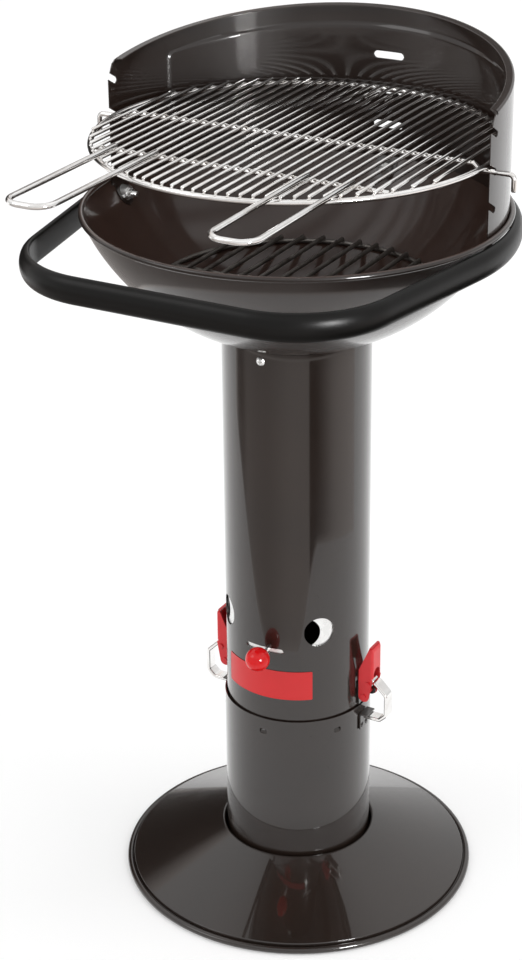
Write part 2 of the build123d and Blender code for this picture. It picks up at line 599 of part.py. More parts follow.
# Wind screen: half round wall with a sloping top, a hem, ears in the bowl, notches and slots
screen_arc = 360 - 2 * SCREEN_END
screen_top_z = SCREEN_MID_Z + SCREEN_SLOPE * SCREEN_R
screen_end_y = -SCREEN_R * cos(radians(SCREEN_END))
end_top_z = SCREEN_MID_Z + SCREEN_SLOPE * screen_end_y
top_plane = Plane(origin=(0, 0, SCREEN_MID_Z), x_dir=(1, 0, 0), z_dir=(0, -SCREEN_SLOPE, 1))
hem_plane = top_plane.offset(-HEM_SHEET)
rear_slot_lift = REAR_SLOT_HEIGHT / 2 - REAR_HOOK_WIRE_R - SEAT_GAP
with BuildPart() as wind_screen:
    with BuildSketch(upright(SCREEN_END + HEM_END)):
        with Locations((SCREEN_R, SCREEN_FOOT_Z)):
            Rectangle(HEM_WIDTH, screen_top_z - SCREEN_FOOT_Z + HEM_WIDTH, align=(Align.MAX, Align.MIN))
    revolve(axis=Axis.Z, revolution_arc=screen_arc - 2 * HEM_END)
    split(bisect_by=hem_plane, keep=Keep.TOP)
    with BuildSketch(upright(SCREEN_END)):
        with Locations((SCREEN_R, SCREEN_FOOT_Z)):
            Rectangle(SCREEN_SHEET, screen_top_z - SCREEN_FOOT_Z + HEM_WIDTH, align=(Align.MAX, Align.MIN))
    revolve(axis=Axis.Z, revolution_arc=screen_arc)
    split(bisect_by=top_plane, keep=Keep.BOTTOM)
    for angle in STUD_ANGLES:
        with BuildSketch(upright(angle - EAR_ARC / 2)):
            with BuildLine():
                ear_foot = -degrees(asin((BOWL_Z - SCREEN_FOOT_Z + EAR_HEIGHT) / EAR_OUT_R))
                ear_head = -degrees(asin((BOWL_Z - SCREEN_FOOT_Z - SCREEN_SHEET) / EAR_OUT_R))
                ear_out = CenterArc((0, BOWL_Z), EAR_OUT_R, ear_foot, ear_head - ear_foot)
                ear_in = CenterArc((0, BOWL_Z), EAR_IN_R, ear_foot, ear_head - ear_foot)
                Line(ear_out @ 0, ear_in @ 0)
                Line(ear_out @ 1, ear_in @ 1)
            make_face()
        revolve(axis=Axis.Z, revolution_arc=EAR_ARC)
    for angle in STUD_ANGLES:
        with BuildSketch(facing(angle, BOWL_RIM_R, HANDLE_Z)):
            Circle(STUD_R + BOLT_GAP)
        extrude(amount=WALL_CUT, both=True, mode=Mode.SUBTRACT)
    with BuildSketch(Plane.YZ):
        for level in (-1, 0, 1):
            with Locations((CROSS_Y, HOOK_Z + level * NOTCH_STEP)):
                Circle(CROSS_WIRE_R + NOTCH_PLAY)
                Rectangle(
                    2 * WALL_CUT,
                    2 * (CROSS_WIRE_R + NOTCH_PLAY),
                    rotation=-NOTCH_SLOPE,
                    align=(Align.MAX, Align.CENTER),
                )
    extrude(amount=2 * SCREEN_R, both=True, mode=Mode.SUBTRACT)
    with BuildSketch(Plane.YZ):
        with BuildLine():
            Polyline(
                (screen_end_y - CORNER_CUT, end_top_z - 2 * CORNER_CUT),
                (screen_end_y + CORNER_CUT, end_top_z + CORNER_CUT * SCREEN_SLOPE),
                (screen_end_y - CORNER_CUT, end_top_z + CORNER_CUT),
                close=True,
            )
        make_face()
    extrude(amount=2 * SCREEN_R, both=True, mode=Mode.SUBTRACT)
    for level in (-1, 0, 1):
        with BuildSketch(facing(180, SCREEN_R, REAR_HOOK_Z + rear_slot_lift + level * NOTCH_STEP)):
            SlotOverall(REAR_SLOT_WIDTH, REAR_SLOT_HEIGHT)
        extrude(amount=WALL_CUT, both=True, mode=Mode.SUBTRACT)
save(wind_screen, "wind_screen")

# Cooking grid: ring, bars on the ring, cross wires under the bars, rear hook and two wire loops
with BuildPart() as grid_ring:
    with Locations((0, 0, GRID_Z)):
        Torus(GRID_RING_R, GRID_RING_WIRE_R)
save(grid_ring, "grid_ring")

with BuildPart() as grid_bars:
    for step in range(GRID_BARS):
        place = (step - (GRID_BARS - 1) / 2) * GRID_PITCH
        with Locations((place, 0, BAR_Z)):
            Cylinder(GRID_BAR_R, 2 * sqrt(GRID_RING_R**2 - place**2), rotation=(90, 0, 0))
save(grid_bars, "grid_bars")

hook_x = SCREEN_R + CROSS_OUT
dip_x = GRID_RING_R - DIP_IN
with BuildPart() as grid_middle_wire:
    with BuildLine():
        middle_line = FilletPolyline(
            (-hook_x, CROSS_Y, HOOK_Z - CROSS_DROP),
            (-hook_x, CROSS_Y, HOOK_Z),
            (-dip_x - DIP_IN / 2, CROSS_Y, HOOK_Z),
            (-dip_x, CROSS_Y, CROSS_Z),
            (dip_x, CROSS_Y, CROSS_Z),
            (dip_x + DIP_IN / 2, CROSS_Y, HOOK_Z),
            (hook_x, CROSS_Y, HOOK_Z),
            (hook_x, CROSS_Y, HOOK_Z - CROSS_DROP),
            radius=CROSS_BEND_R,
        )
    with BuildSketch(Plane(origin=middle_line @ 0, z_dir=middle_line % 0)):
        Circle(CROSS_WIRE_R)
    sweep()
save(grid_middle_wire, "grid_middle_wire")

front_wire_half = sqrt((GRID_RING_R - GRID_RING_WIRE_R)**2 - FRONT_WIRE_Y**2) - CROSS_WIRE_R
with BuildPart() as grid_front_wire:
    with Locations((0, FRONT_WIRE_Y, CROSS_Z)):
        Cylinder(CROSS_WIRE_R, 2 * front_wire_half, rotation=(0, 90, 0))
save(grid_front_wire, "grid_front_wire")

rear_hook_y = SCREEN_R + REAR_HOOK_OUT
with BuildPart() as grid_rear_hook:
    with BuildLine():
        rear_line = FilletPolyline(
            (-REAR_HOOK_WIDTH / 2, rear_hook_y - REAR_HOOK_IN, REAR_HOOK_Z),
            (-REAR_HOOK_WIDTH / 2, rear_hook_y - REAR_HOOK_WIRE_R, REAR_HOOK_Z),
            (REAR_HOOK_WIDTH / 2, rear_hook_y - REAR_HOOK_WIRE_R, REAR_HOOK_Z),
            (REAR_HOOK_WIDTH / 2, rear_hook_y - REAR_HOOK_IN, REAR_HOOK_Z),
            radius=REAR_HOOK_WIDTH / 4,
        )
    with BuildSketch(Plane(origin=rear_line @ 0, z_dir=rear_line % 0)):
        Circle(REAR_HOOK_WIRE_R)
    sweep()
save(grid_rear_hook, "grid_rear_hook")

loop_back_y = FRONT_WIRE_Y - LOOP_LAP
loop_front_y = -GRID_RING_R - LOOP_OUT + LOOP_WIRE_R
for side, mark in SIDES:
    near_x = mark * LOOP_BARS[0] * GRID_PITCH
    far_x = mark * LOOP_BARS[1] * GRID_PITCH
    with BuildPart() as grid_handle:
        with BuildLine():
            loop_line = FilletPolyline(
                (near_x, loop_back_y, LOOP_Z),
                (near_x, loop_front_y, LOOP_Z),
                (far_x, loop_front_y, LOOP_Z),
                (far_x, loop_back_y, LOOP_Z),
                radius=LOOP_BEND_R,
            )
        with BuildSketch(Plane(origin=loop_line @ 0, z_dir=loop_line % 0)):
            Circle(LOOP_WIRE_R)
        sweep()
    save(grid_handle, f"{side}_grid_handle")

# Latches on both sides: keeper on the pot, bracket on the tube, lever, hook, pins and rivets
pocket_t = LEVER_WIDTH / 2 - LEVER_WALL
ear_out_t = pocket_t - SEAT_GAP
lever_back_r = PIVOT_R - LEVER_FOOT_R
lever_face_r = lever_back_r + LEVER_DEPTH
lever_top_z = PIVOT_Z + LEVER_LENGTH
taper_foot_z = lever_top_z - LEVER_TAPER
web_foot_z = PIVOT_Z + LEVER_WEB_RISE
bulge_r = CLAW_PIVOT_R + CLAW_BULGE - CLAW_THICK
toe_r = POT_R + CLAW_TIP


def headed_pin(plane, r, z):
    """Pin across a lever with a head on each side."""
    head_t = LEVER_WIDTH / 2 + SEAT_GAP
    with BuildSketch(plane) as shank:
        with Locations((r, z)):
            Circle(LATCH_PIN_R)
    extrude(shank.sketch, amount=head_t + PIN_HEAD, both=True)
    for way in (1, -1):
        with BuildSketch(plane.offset(way * head_t)) as head:
            with Locations((r, z)):
                Circle(PIN_HEAD_R)
        extrude(head.sketch, amount=way * PIN_HEAD)


for side, mark in SIDES:
    across = upright(90 * mark)
    with BuildPart() as latch_keeper:
        with BuildSketch(across):
            with Locations((KEEPER_R, KEEPER_FOOT_Z)):
                Rectangle(KEEPER_SHEET, KEEPER_HEIGHT, align=(Align.MIN, Align.MIN))
            with Locations((KEEPER_R, KEEPER_TOP_Z)):
                Rectangle(KEEPER_REACH, KEEPER_SHEET, align=(Align.MIN, Align.MAX))
        extrude(amount=KEEPER_WIDTH / 2, both=True)
        with BuildSketch(facing(90 * mark, KEEPER_R, KEEPER_RIVET_Z)):
            with Locations(*[(shift, 0) for shift in KEEPER_RIVETS]):
                Circle(RIVET_R + PIN_GAP)
        extrude(amount=KEEPER_SHEET, mode=Mode.SUBTRACT)
    save(latch_keeper, f"{side}_latch_keeper")

    with BuildPart() as latch_bracket:
        for way in (1, -1):
            with BuildSketch(across.offset(way * ear_out_t)):
                with Locations((PIVOT_R, PIVOT_Z)):
                    Circle(BRACKET_EAR_R)
                    Rectangle(PIVOT_OUT - SEAT_GAP, 2 * BRACKET_EAR_R, align=(Align.MAX, Align.CENTER))
                    Circle(LATCH_PIN_R + PIN_GAP, mode=Mode.SUBTRACT)
            extrude(amount=-way * BRACKET_SHEET)
        with BuildSketch(facing(90 * mark, TUBE_R + SEAT_GAP, PIVOT_Z)):
            with Locations((0, -BRACKET_BELOW)):
                Rectangle(2 * ear_out_t, BRACKET_BELOW + BRACKET_ABOVE, align=(Align.CENTER, Align.MIN))
            with Locations(*[(0, height - PIVOT_Z) for height in BRACKET_RIVETS]):
                Circle(RIVET_R + PIN_GAP, mode=Mode.SUBTRACT)
        extrude(amount=BRACKET_SHEET)
    save(latch_bracket, f"{side}_latch_bracket")

    with BuildPart() as lever_pin:
        headed_pin(across, PIVOT_R, PIVOT_Z)
    save(lever_pin, f"{side}_lever_pin")

    with BuildPart() as latch_lever:
        with BuildSketch(across):
            with BuildLine():
                Polyline(
                    (lever_back_r, PIVOT_Z),
                    (lever_back_r, taper_foot_z),
                    (lever_face_r - LEVER_TIP, lever_top_z),
                    (lever_face_r - LEVER_CHAMFER, lever_top_z),
                    (lever_face_r, lever_top_z - 2 * LEVER_CHAMFER),
                    (lever_face_r, web_foot_z),
                    (PIVOT_R + LEVER_FOOT_R, PIVOT_Z),
                    close=True,
                )
            make_face()
            with Locations((PIVOT_R, PIVOT_Z)):
                Circle(LEVER_FOOT_R)
        extrude(amount=LEVER_WIDTH / 2, both=True)
        with BuildSketch(across):
            with Locations((lever_face_r - LEVER_WALL, lever_top_z - LEVER_CAP)):
                Rectangle(2 * LEVER_DEPTH, 2 * LEVER_LENGTH, align=Align.MAX)
        extrude(amount=pocket_t, both=True, mode=Mode.SUBTRACT)
        with BuildSketch(facing(90 * mark, lever_face_r - LEVER_WALL, web_foot_z)):
            Rectangle(2 * pocket_t, LEVER_LENGTH, align=(Align.CENTER, Align.MAX))
            with Locations((0, WINDOW_RISE - LEVER_WEB_RISE)):
                Circle(WINDOW_R)
        extrude(amount=2 * LEVER_WALL, mode=Mode.SUBTRACT)
        with BuildSketch(across):
            with Locations((PIVOT_R, PIVOT_Z), (CLAW_PIVOT_R, CLAW_PIVOT_Z)):
                Circle(LATCH_PIN_R + PIN_GAP)
        extrude(amount=LEVER_WIDTH, both=True, mode=Mode.SUBTRACT)
    save(latch_lever, f"{side}_latch_lever")

    with BuildPart() as claw_pin:
        headed_pin(across, CLAW_PIVOT_R, CLAW_PIVOT_Z)
    save(claw_pin, f"{side}_claw_pin")

    with BuildPart() as claw:
        with BuildSketch(across):
            with BuildLine():
                FilletPolyline(
                    (CLAW_PIVOT_R, CLAW_PIVOT_Z - CLAW_THICK / 2),
                    (bulge_r - CLAW_UPPER_CUT, CLAW_PIVOT_Z - CLAW_THICK / 2),
                    (bulge_r, CLAW_PIVOT_Z - CLAW_THICK / 2 - CLAW_UPPER_CUT),
                    (bulge_r, TOE_TOP_Z + CLAW_LOWER_CUT),
                    (bulge_r - CLAW_LOWER_CUT, TOE_TOP_Z),
                    (toe_r, TOE_TOP_Z),
                    radius=CLAW_BEND_R,
                )
                offset(amount=CLAW_THICK, side=Side.LEFT)
            make_face()
            with Locations((CLAW_PIVOT_R, CLAW_PIVOT_Z)):
                Circle(CLAW_EYE_R)
                Circle(LATCH_PIN_R + PIN_GAP, mode=Mode.SUBTRACT)
        extrude(amount=CLAW_WIDTH / 2, both=True)
    save(claw, f"{side}_claw")

with BuildPart() as keeper_rivets:
    for side, mark in SIDES:
        for shift in KEEPER_RIVETS:
            rivet(90 * mark, shift, KEEPER_RIVET_Z, KEEPER_R + KEEPER_SHEET, POT_IN_R)
save(keeper_rivets, "keeper_rivets")

with BuildPart() as bracket_rivets:
    for side, mark in SIDES:
        for height in BRACKET_RIVETS:
            rivet(90 * mark, 0.0, height, PLATE_FACE_R, TUBE_IN_R)
save(bracket_rivets, "bracket_rivets")
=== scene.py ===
# %% [markdown]
# # A charcoal grill on a pedestal
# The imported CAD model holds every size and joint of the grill. This lesson dresses it: thin sheet
# with rolled edges, bent and welded wire, pressed lines, enamel and plating. Each new piece takes
# the place of a CAD node and moves with the same body, so the joints keep working.

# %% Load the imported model
import json

import bmesh
import bpy
import numpy as np
from mathutils import Matrix, Vector


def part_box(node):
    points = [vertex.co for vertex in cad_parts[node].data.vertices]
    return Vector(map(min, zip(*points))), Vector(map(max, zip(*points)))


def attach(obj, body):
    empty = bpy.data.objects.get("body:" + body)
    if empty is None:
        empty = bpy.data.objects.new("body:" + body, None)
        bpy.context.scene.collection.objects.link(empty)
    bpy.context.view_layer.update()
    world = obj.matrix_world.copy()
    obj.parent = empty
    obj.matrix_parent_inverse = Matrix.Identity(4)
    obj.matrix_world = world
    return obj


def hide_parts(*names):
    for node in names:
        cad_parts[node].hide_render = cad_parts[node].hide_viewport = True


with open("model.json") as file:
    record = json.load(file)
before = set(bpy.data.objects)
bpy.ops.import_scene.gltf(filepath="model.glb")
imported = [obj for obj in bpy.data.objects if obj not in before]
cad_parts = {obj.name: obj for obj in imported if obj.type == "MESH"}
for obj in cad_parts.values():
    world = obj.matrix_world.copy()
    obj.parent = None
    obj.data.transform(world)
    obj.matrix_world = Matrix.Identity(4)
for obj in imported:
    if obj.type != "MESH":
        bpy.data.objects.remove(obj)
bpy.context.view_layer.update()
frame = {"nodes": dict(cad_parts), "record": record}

# %% [markdown]
# The record says which body a node belongs to and which finish it has. Reading both from there means
# that a piece only has to name the node it stands for.

# %% Bodies and finishes of the nodes
MM = 0.001
home = {node: body for body, nodes in frame["record"]["behaviour"]["bodies"].items() for node in nodes}
finish_of = {row["node"]: row["material_slot"] for row in frame["record"]["subparts"]}


def mm(*values):
    """Lengths in millimetres as metres."""
    return np.array(values) * MM


def span(node):
    """Lowest and highest corner of a CAD node, in metres."""
    low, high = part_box(node)
    return np.array(low), np.array(high)


def middle_of(node):
    """Middle of a CAD node's box: half the sum of its two corners."""
    low, high = span(node)
    return (low + high) / 2


# %% [markdown]
# Every surface here is a grid of points, made by a few array tools: lines with rounded corners, an
# outline turned round an axis, a section carried along a line, and a sheet with openings. Whole
# arrays are short to write and quick to run.

# %% Faces of a grid, and lines with rounded corners
def shell(points, close_rows=False, close_columns=False):
    """Points of a grid, rows by columns, as one list, and the corner numbers of its quads."""
    index = np.arange(points[..., 0].size).reshape(points.shape[:2])
    if close_rows:
        index = np.vstack([index, index[:1]])
    if close_columns:
        index = np.hstack([index, index[:, :1]])
    corners = [index[:-1, :-1], index[1:, :-1], index[1:, 1:], index[:-1, 1:]]
    return points.reshape(-1, points.shape[-1]), np.stack(corners, -1).reshape(-1, 4)


def unit(vectors):
    """Vectors divided by their lengths."""
    vectors = np.asarray(vectors, float)
    return vectors / np.linalg.norm(vectors, axis=-1, keepdims=True)


def bent(points, radius, steps=7, closed=False):
    """Line whose corners are arcs that touch both sides.

    The middle of an arc lies on the line that halves its corner, at radius / sin(half angle). The
    arc's points are its first and last radius mixed by sin((1 - t) turn) and sin(t turn). One point
    more before and after each arc keeps the shading of the straight sides flat.
    """
    points = np.asarray(points, float)
    inner = slice(None) if closed else slice(1, -1)
    corners = points[inner]
    back = unit(np.roll(points, 1, 0) - points)[inner]
    ahead = unit(np.roll(points, -1, 0) - points)[inner]
    half = np.arccos(np.clip((back * ahead).sum(1), -1, 1))[:, None] / 2
    radius = np.broadcast_to(np.asarray(radius, float), len(corners))[:, None]
    reach = radius / np.tan(half)
    middle = corners + unit(back + ahead) * (radius / np.sin(half))
    first = (corners + back * reach - middle)[:, None]
    last = (corners + ahead * reach - middle)[:, None]
    turn = np.pi - 2 * half
    t = np.linspace(0, 1, steps)
    mix = [np.sin(part * turn)[..., None] / np.sin(turn)[..., None] for part in (1 - t, t)]
    arcs = middle[:, None] + mix[0] * first + mix[1] * last
    spare = reach + 0.25 * radius
    ends = [(corners + way * spare)[:, None] for way in (back, ahead)]
    arcs = np.concatenate([ends[0], arcs, ends[1]], 1).reshape(-1, points.shape[1])
    return arcs if closed else np.vstack([points[:1], arcs, points[-1:]])


def arc(middle, radius, first, last, steps):
    """Points of a circle between two angles in degrees."""
    angle = np.radians(np.linspace(first, last, steps))
    return np.array(middle) + radius * np.stack([np.cos(angle), np.sin(angle)], 1)


print("grids and bent lines")

# %% [markdown]
# Round pieces are turned, as on a lathe: an outline goes round an axis. Bars and wires are carried: a
# section goes along a line, with one side always towards a fixed direction, so it does not twist.
# A Screw modifier or a bevelled curve could do the same, but with arrays each piece chooses where its
# points lie.

# %% Turned and carried surfaces
UP = np.array([0.0, 0.0, 1.0])
WIRE_TIP = 0.6


def full_turn(count):
    """Angles evenly spaced once round, without the last."""
    return np.linspace(0, 2 * np.pi, count, endpoint=False)


def points_at(x, y, z):
    """Points from three numbers or arrays."""
    return np.stack(np.broadcast_arrays(x, y, z), -1)


def round_axis(r, angle, z):
    """Points at a radius, an angle from the front towards +X, and a height."""
    return points_at(r * np.sin(angle), -r * np.cos(angle), z)


def outward(degrees_round):
    """Direction away from the column at an angle from the front towards +X."""
    return round_axis(1.0, np.radians(degrees_round), 0.0)


def turned(outline, count, origin=(0, 0, 0), axis=UP, start=(0, -1, 0), closed=True):
    """Outline of (radius, height) turned round an axis.

    A point is origin + height axis + radius (cos a start + sin a side).
    """
    axis, start = unit(axis), unit(start)
    angle = full_turn(count)[:, None, None]
    spoke = np.cos(angle) * start + np.sin(angle) * np.cross(axis, start)
    outline = np.asarray(outline, float)
    points = np.array(origin) + spoke * outline[None, :, :1] + axis * outline[None, :, 1:]
    return shell(points, True, closed)


def circle_section(radius, count):
    """Points of a round section."""
    angle = full_turn(count)
    return radius * np.stack([np.cos(angle), np.sin(angle)], 1)


def carried(path, section, up=UP, scale=None, closed=False):
    """Section (x, y) carried along a path: path + scale (x side + y lift).

    side is the direction of travel crossed with up, and lift is side crossed with the travel.
    """
    path = np.asarray(path, float)
    travel = unit(np.roll(path, -1, 0) - np.roll(path, 1, 0) if closed else np.gradient(path, axis=0))
    side = unit(np.cross(travel, up))
    lift = np.cross(side, travel)
    scale = np.ones(len(path)) if scale is None else scale
    offset = side[:, None] * section[None, :, :1] + lift[:, None] * section[None, :, 1:]
    return shell(path[:, None] + scale[:, None, None] * offset, closed, True)


def wire(path, radius, sides=14, up=UP):
    """Round wire along an open line, with domed ends.

    Over the last part of its length, WIRE_TIP times the radius, the section shrinks by sin t while
    the line advances by 1 - cos t.
    """
    path = np.asarray(path, float)
    t = np.linspace(0, np.pi / 2, 4)
    advance = (WIRE_TIP * radius * (1 - np.cos(t)))[:, None]
    head = path[0] + unit(path[1] - path[0]) * advance
    tail = path[-1] + unit(path[-2] - path[-1]) * advance
    line = np.vstack([head, path[1:-1], tail[::-1]])
    scale = np.concatenate([np.sin(t), np.ones(len(path) - 2), np.sin(t)[::-1]])
    return carried(line, circle_section(radius, sides), up, scale)


print("turned and carried surfaces")

# %% [markdown]
# Sheet metal has air holes, slots and notches, and a boolean would leave ragged triangles there. Here
# the openings are a signed distance, below 0 inside. Faces inside are dropped, and the points along
# the edge slide down the slope of the distance until it is 0. Solidify then gives the sheet its
# wall, and a narrow bevel breaks the sharp edges, as enamel does.

# %% Sheets with openings
EDGE_ROUNDS, TINY = 4, 1e-6


def cut_sheet(u, v, opening, shape):
    """Sheet over the arrays u and v of a grid, without its openings.

    A Newton step moves an edge point by distance / slope squared along the slope, a few times over.
    """
    flat, quads = shell(np.stack([u, v], -1))
    kept = opening(*flat[quads].mean(1).T) > 0
    edge = np.intersect1d(quads[kept], quads[~kept])
    for _ in range(EDGE_ROUNDS):
        x, y = flat[edge].T
        far = opening(x, y)
        slope = np.stack([opening(x + TINY, y) - far, opening(x, y + TINY) - far], 1) / TINY
        flat[edge] -= slope * (far / np.maximum((slope**2).sum(1), 0.2))[:, None]
    used, faces = np.unique(quads[kept], return_inverse=True)
    return shape(*flat[used].T), faces.reshape(-1, 4)


def lattice(first, second):
    """Two arrays over a grid: the first value goes from row to row, the second along a row."""
    return np.meshgrid(first, second, indexing="ij")


def stadium(x, y, width, height):
    """Signed distance to a slot with round ends: distance to its middle line minus half its height."""
    return np.hypot(np.maximum(np.abs(x) - (width - height) / 2, 0), y) - height / 2


def panel(x, y, width, height, corner):
    """Signed distance to a rectangle with round corners."""
    a = np.abs(x) - width / 2 + corner
    b = np.abs(y) - height / 2 + corner
    return np.hypot(np.maximum(a, 0), np.maximum(b, 0)) + np.minimum(np.maximum(a, b), 0) - corner


def ramp(value, low, high):
    """Smooth step from 0 at low to 1 at high: t t (3 - 2 t)."""
    t = np.clip((value - low) / (high - low), 0, 1)
    return t * t * (3 - 2 * t)


print("sheets with slots and panels")

# %% [markdown]
# One function turns point grids into a piece. Points that meet are merged, which closes the seam of a
# turned surface and the pole of a dome, and then the faces of a closed piece are turned outwards.

# %% Pieces from grids
MERGE = 2e-6
BEVEL_FROM = np.radians(50)
pieces_made = []


def quad_mesh(name, points, faces):
    """Mesh of points and quads."""
    mesh = bpy.data.meshes.new(name)
    mesh.from_pydata(points.tolist(), [], faces.tolist())
    return mesh


def joined(shells):
    """All the shells as one: corner numbers go up by the number of points before them."""
    first = np.cumsum([0] + [len(points) for points, _ in shells[:-1]])
    faces = [faces + start for (_, faces), start in zip(shells, first)]
    return np.concatenate([points for points, _ in shells]), np.concatenate(faces)


def add_piece(name, shells, nodes, material, wall=0.0, soft_edge=0.0, sharp=40.0):
    """Makes one piece from (points, faces) shells in place of CAD nodes, on their body."""
    mesh = quad_mesh(name, *joined(shells))
    work = bmesh.new()
    work.from_mesh(mesh)
    bmesh.ops.remove_doubles(work, verts=work.verts, dist=MERGE)
    if not wall:
        bmesh.ops.recalc_face_normals(work, faces=work.faces)
    work.to_mesh(mesh)
    work.free()
    mesh.polygons.foreach_set("use_smooth", np.ones(len(mesh.polygons), dtype=bool))
    mesh.set_sharp_from_angle(angle=np.radians(sharp))
    made = bpy.data.objects.new(name, mesh)
    bpy.context.scene.collection.objects.link(made)
    made.data.materials.append(material)
    if wall:
        thick = made.modifiers.new("wall", "SOLIDIFY")
        thick.thickness = wall
        thick.offset = -1.0
    if soft_edge:
        edge = made.modifiers.new("soft edge", "BEVEL")
        edge.width = soft_edge
        edge.segments = 2
        edge.limit_method = "ANGLE"
        edge.angle_limit = BEVEL_FROM
        edge.harden_normals = True
    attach(made, home[nodes[0]])
    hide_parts(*nodes)
    pieces_made.append(name)
    print(name, len(mesh.vertices), "points for", ", ".join(nodes))


# %% [markdown]
# Finishes are node trees. Written as sums they are easier to follow than a list of links, so a small
# class stands for one output socket. Adding or multiplying puts a Math node into the tree, and every
# other node comes from its one method.

# %% Node trees as expressions
class Flow:
    """One output socket of a node tree."""

    def __init__(self, tree, socket=None):
        self.tree = tree
        self.socket = socket

    def node(self, kind, inputs=None, output=0, **settings):
        """Adds a shader node: its settings first, then the values or links of its sockets."""
        made = self.tree.nodes.new("ShaderNode" + kind)
        for name, value in settings.items():
            setattr(made, name, value)
        for name, value in (inputs or {}).items():
            if isinstance(value, Flow):
                self.tree.links.new(value.socket, made.inputs[name])
            else:
                made.inputs[name].default_value = value
        return Flow(self.tree, made.outputs[output] if len(made.outputs) else None)

    def math(self, operation, first, second):
        """Math node on two values."""
        return self.node("Math", {0: first, 1: second}, operation=operation)

    def __add__(self, other):
        return self.math("ADD", self, other)

    def __mul__(self, other):
        return self.math("MULTIPLY", self, other)

    def __sub__(self, other):
        return self.math("SUBTRACT", self, other)

    def __rsub__(self, other):
        return self.math("SUBTRACT", other, self)

    __radd__ = __add__
    __rmul__ = __mul__

    def smooth(self, low, high):
        """0 below low, 1 above high, and a smooth step between."""
        sockets = {"Value": self, "From Min": low, "From Max": high}
        return self.node("MapRange", sockets, interpolation_type="SMOOTHSTEP")

    def mix(self, first, second):
        """First colour where this value is 0, second where it is 1."""
        return self.node("Mix", {0: self, 6: first, 7: second}, 2, data_type="RGBA")


def noise(place, scale, detail=3.0, roughness=0.5):
    """Cloudy pattern around 0.5, scale in patches per metre."""
    inputs = {"Vector": place, "Scale": scale, "Detail": detail, "Roughness": roughness}
    return place.node("TexNoise", inputs)


def bump(height, distance, strength=1.0):
    """Normal of a height between 0 and 1, distance in metres."""
    return height.node("Bump", {"Height": height, "Distance": distance, "Strength": strength})


def empty_tree(owner):
    """Node tree of a material or a world, with nothing in it."""
    owner.use_nodes = True
    owner.node_tree.nodes.clear()
    return Flow(owner.node_tree)


def new_finish(name):
    """Empty material and its Object coordinates."""
    material = bpy.data.materials.new(name)
    return material, empty_tree(material).node("TexCoord", output="Object")


def close_finish(place, sockets):
    """Principled surface with these sockets, linked to the output."""
    place.node("OutputMaterial", {"Surface": place.node("BsdfPrincipled", sockets)})


print("expressions ready")

# %% [markdown]
# Enamel is glass melted onto steel: nearly black with a brown cast, mirror smooth, and slightly wavy
# like orange peel. A coat gives the sharp reflection and the layer under it a softer one. The
# roughness drifts, as on a wiped surface, and fine dust dulls it in specks. The screen and the bowl
# stand in the smoke: they are browner and duller. The bowl is a lighter brown inside, which is partly
# a smoke film and partly the glow of the fire painted into the colour. The inside is found by the
# distance to the middle of its ball.

# %% Enamel
def enamel_finish(name, dark, light, rough, wave, gloss, coat_rough, film_and_glow=None):
    """Glossy enamel: colour between dark and light, roughness round rough, waves of height wave.

    film_and_glow is (height, radius, colour): a lighter brown on what is nearer than the radius to a
    ball's middle. It is partly a smoke film and partly the fire's glow painted into the colour.
    """
    material, place = new_finish(name)
    clouds = noise(place, 9.0, 4.0)
    wiped = noise(place, 32.0, 5.0, 0.65)
    specks = noise(place, 900.0, 1.0).smooth(0.70, 0.78)
    peel = noise(place, 260.0, 2.0) + noise(place, 45.0, 2.0) * 2.5
    colour = clouds.smooth(0.3, 0.7).mix(dark, light)
    # Inside the bowl the colour turns a lighter brown: partly a smoke film, partly painted glow of the
    # fire.
    if film_and_glow:
        height, radius, film_and_glow_brown = film_and_glow
        middle = (0.0, 0.0, height)
        away = place.node("VectorMath", {0: place, 1: middle}, "Value", operation="DISTANCE")
        inside = 1.0 - away.smooth(radius, radius + 0.4 * MM)
        colour = (inside * (0.7 + wiped * 0.5)).mix(colour, film_and_glow_brown)
    close_finish(place, {
        "Base Color": colour,
        "Roughness": rough + wiped * 0.10 + specks * 0.18,
        "IOR": 1.5,
        "Specular IOR Level": gloss,
        "Coat Weight": 1.0 - specks * 0.5 - wiped.smooth(0.62, 0.85) * 0.15,
        "Coat Roughness": coat_rough,
        "Coat IOR": 1.5,
        "Normal": bump(peel, wave),
    })
    return material


BLACK = {"dark": (0.0150, 0.0098, 0.0077, 1), "light": (0.0200, 0.0128, 0.0098, 1)}
SMOKED = {"dark": (0.0160, 0.0088, 0.0064, 1), "light": (0.0200, 0.0112, 0.0082, 1)}
SMOKED |= {"rough": 0.32, "wave": 0.02 * MM, "gloss": 0.18, "coat_rough": 0.09}
enamel = enamel_finish("black_enamel", **BLACK, rough=0.16, wave=0.06 * MM, gloss=0.25, coat_rough=0.035)
fire_enamel = enamel_finish("smoked_enamel", **SMOKED)
print(enamel.name, fire_enamel.name)

# %% [markdown]
# The handle bar is painted: satin black with the fine grain of powder paint. It scatters light into a
# broad soft streak instead of mirroring the room.

# %% Handle paint
handle_paint, place = new_finish("satin_handle_paint")
grain = noise(place, 1400.0, 2.0)
worn = noise(place, 14.0, 4.0).smooth(0.5, 0.8)
close_finish(place, {
    "Base Color": worn.mix((0.0045, 0.0040, 0.0036, 1), (0.0075, 0.0066, 0.0060, 1)),
    "Roughness": 0.27 + grain * 0.08 - worn * 0.05,
    "IOR": 1.5,
    "Specular IOR Level": 0.20,
    "Normal": bump(grain, 0.12 * MM, 0.6),
})
print(handle_paint.name)

# %% [markdown]
# The grid, its loops and the hooks are nickel-plated. Drawn wire has fine lines along its length and
# the plating is a little uneven, so the roughness and the grey both drift. The fire grate below is
# the same wire gone dull and brown-grey with heat.

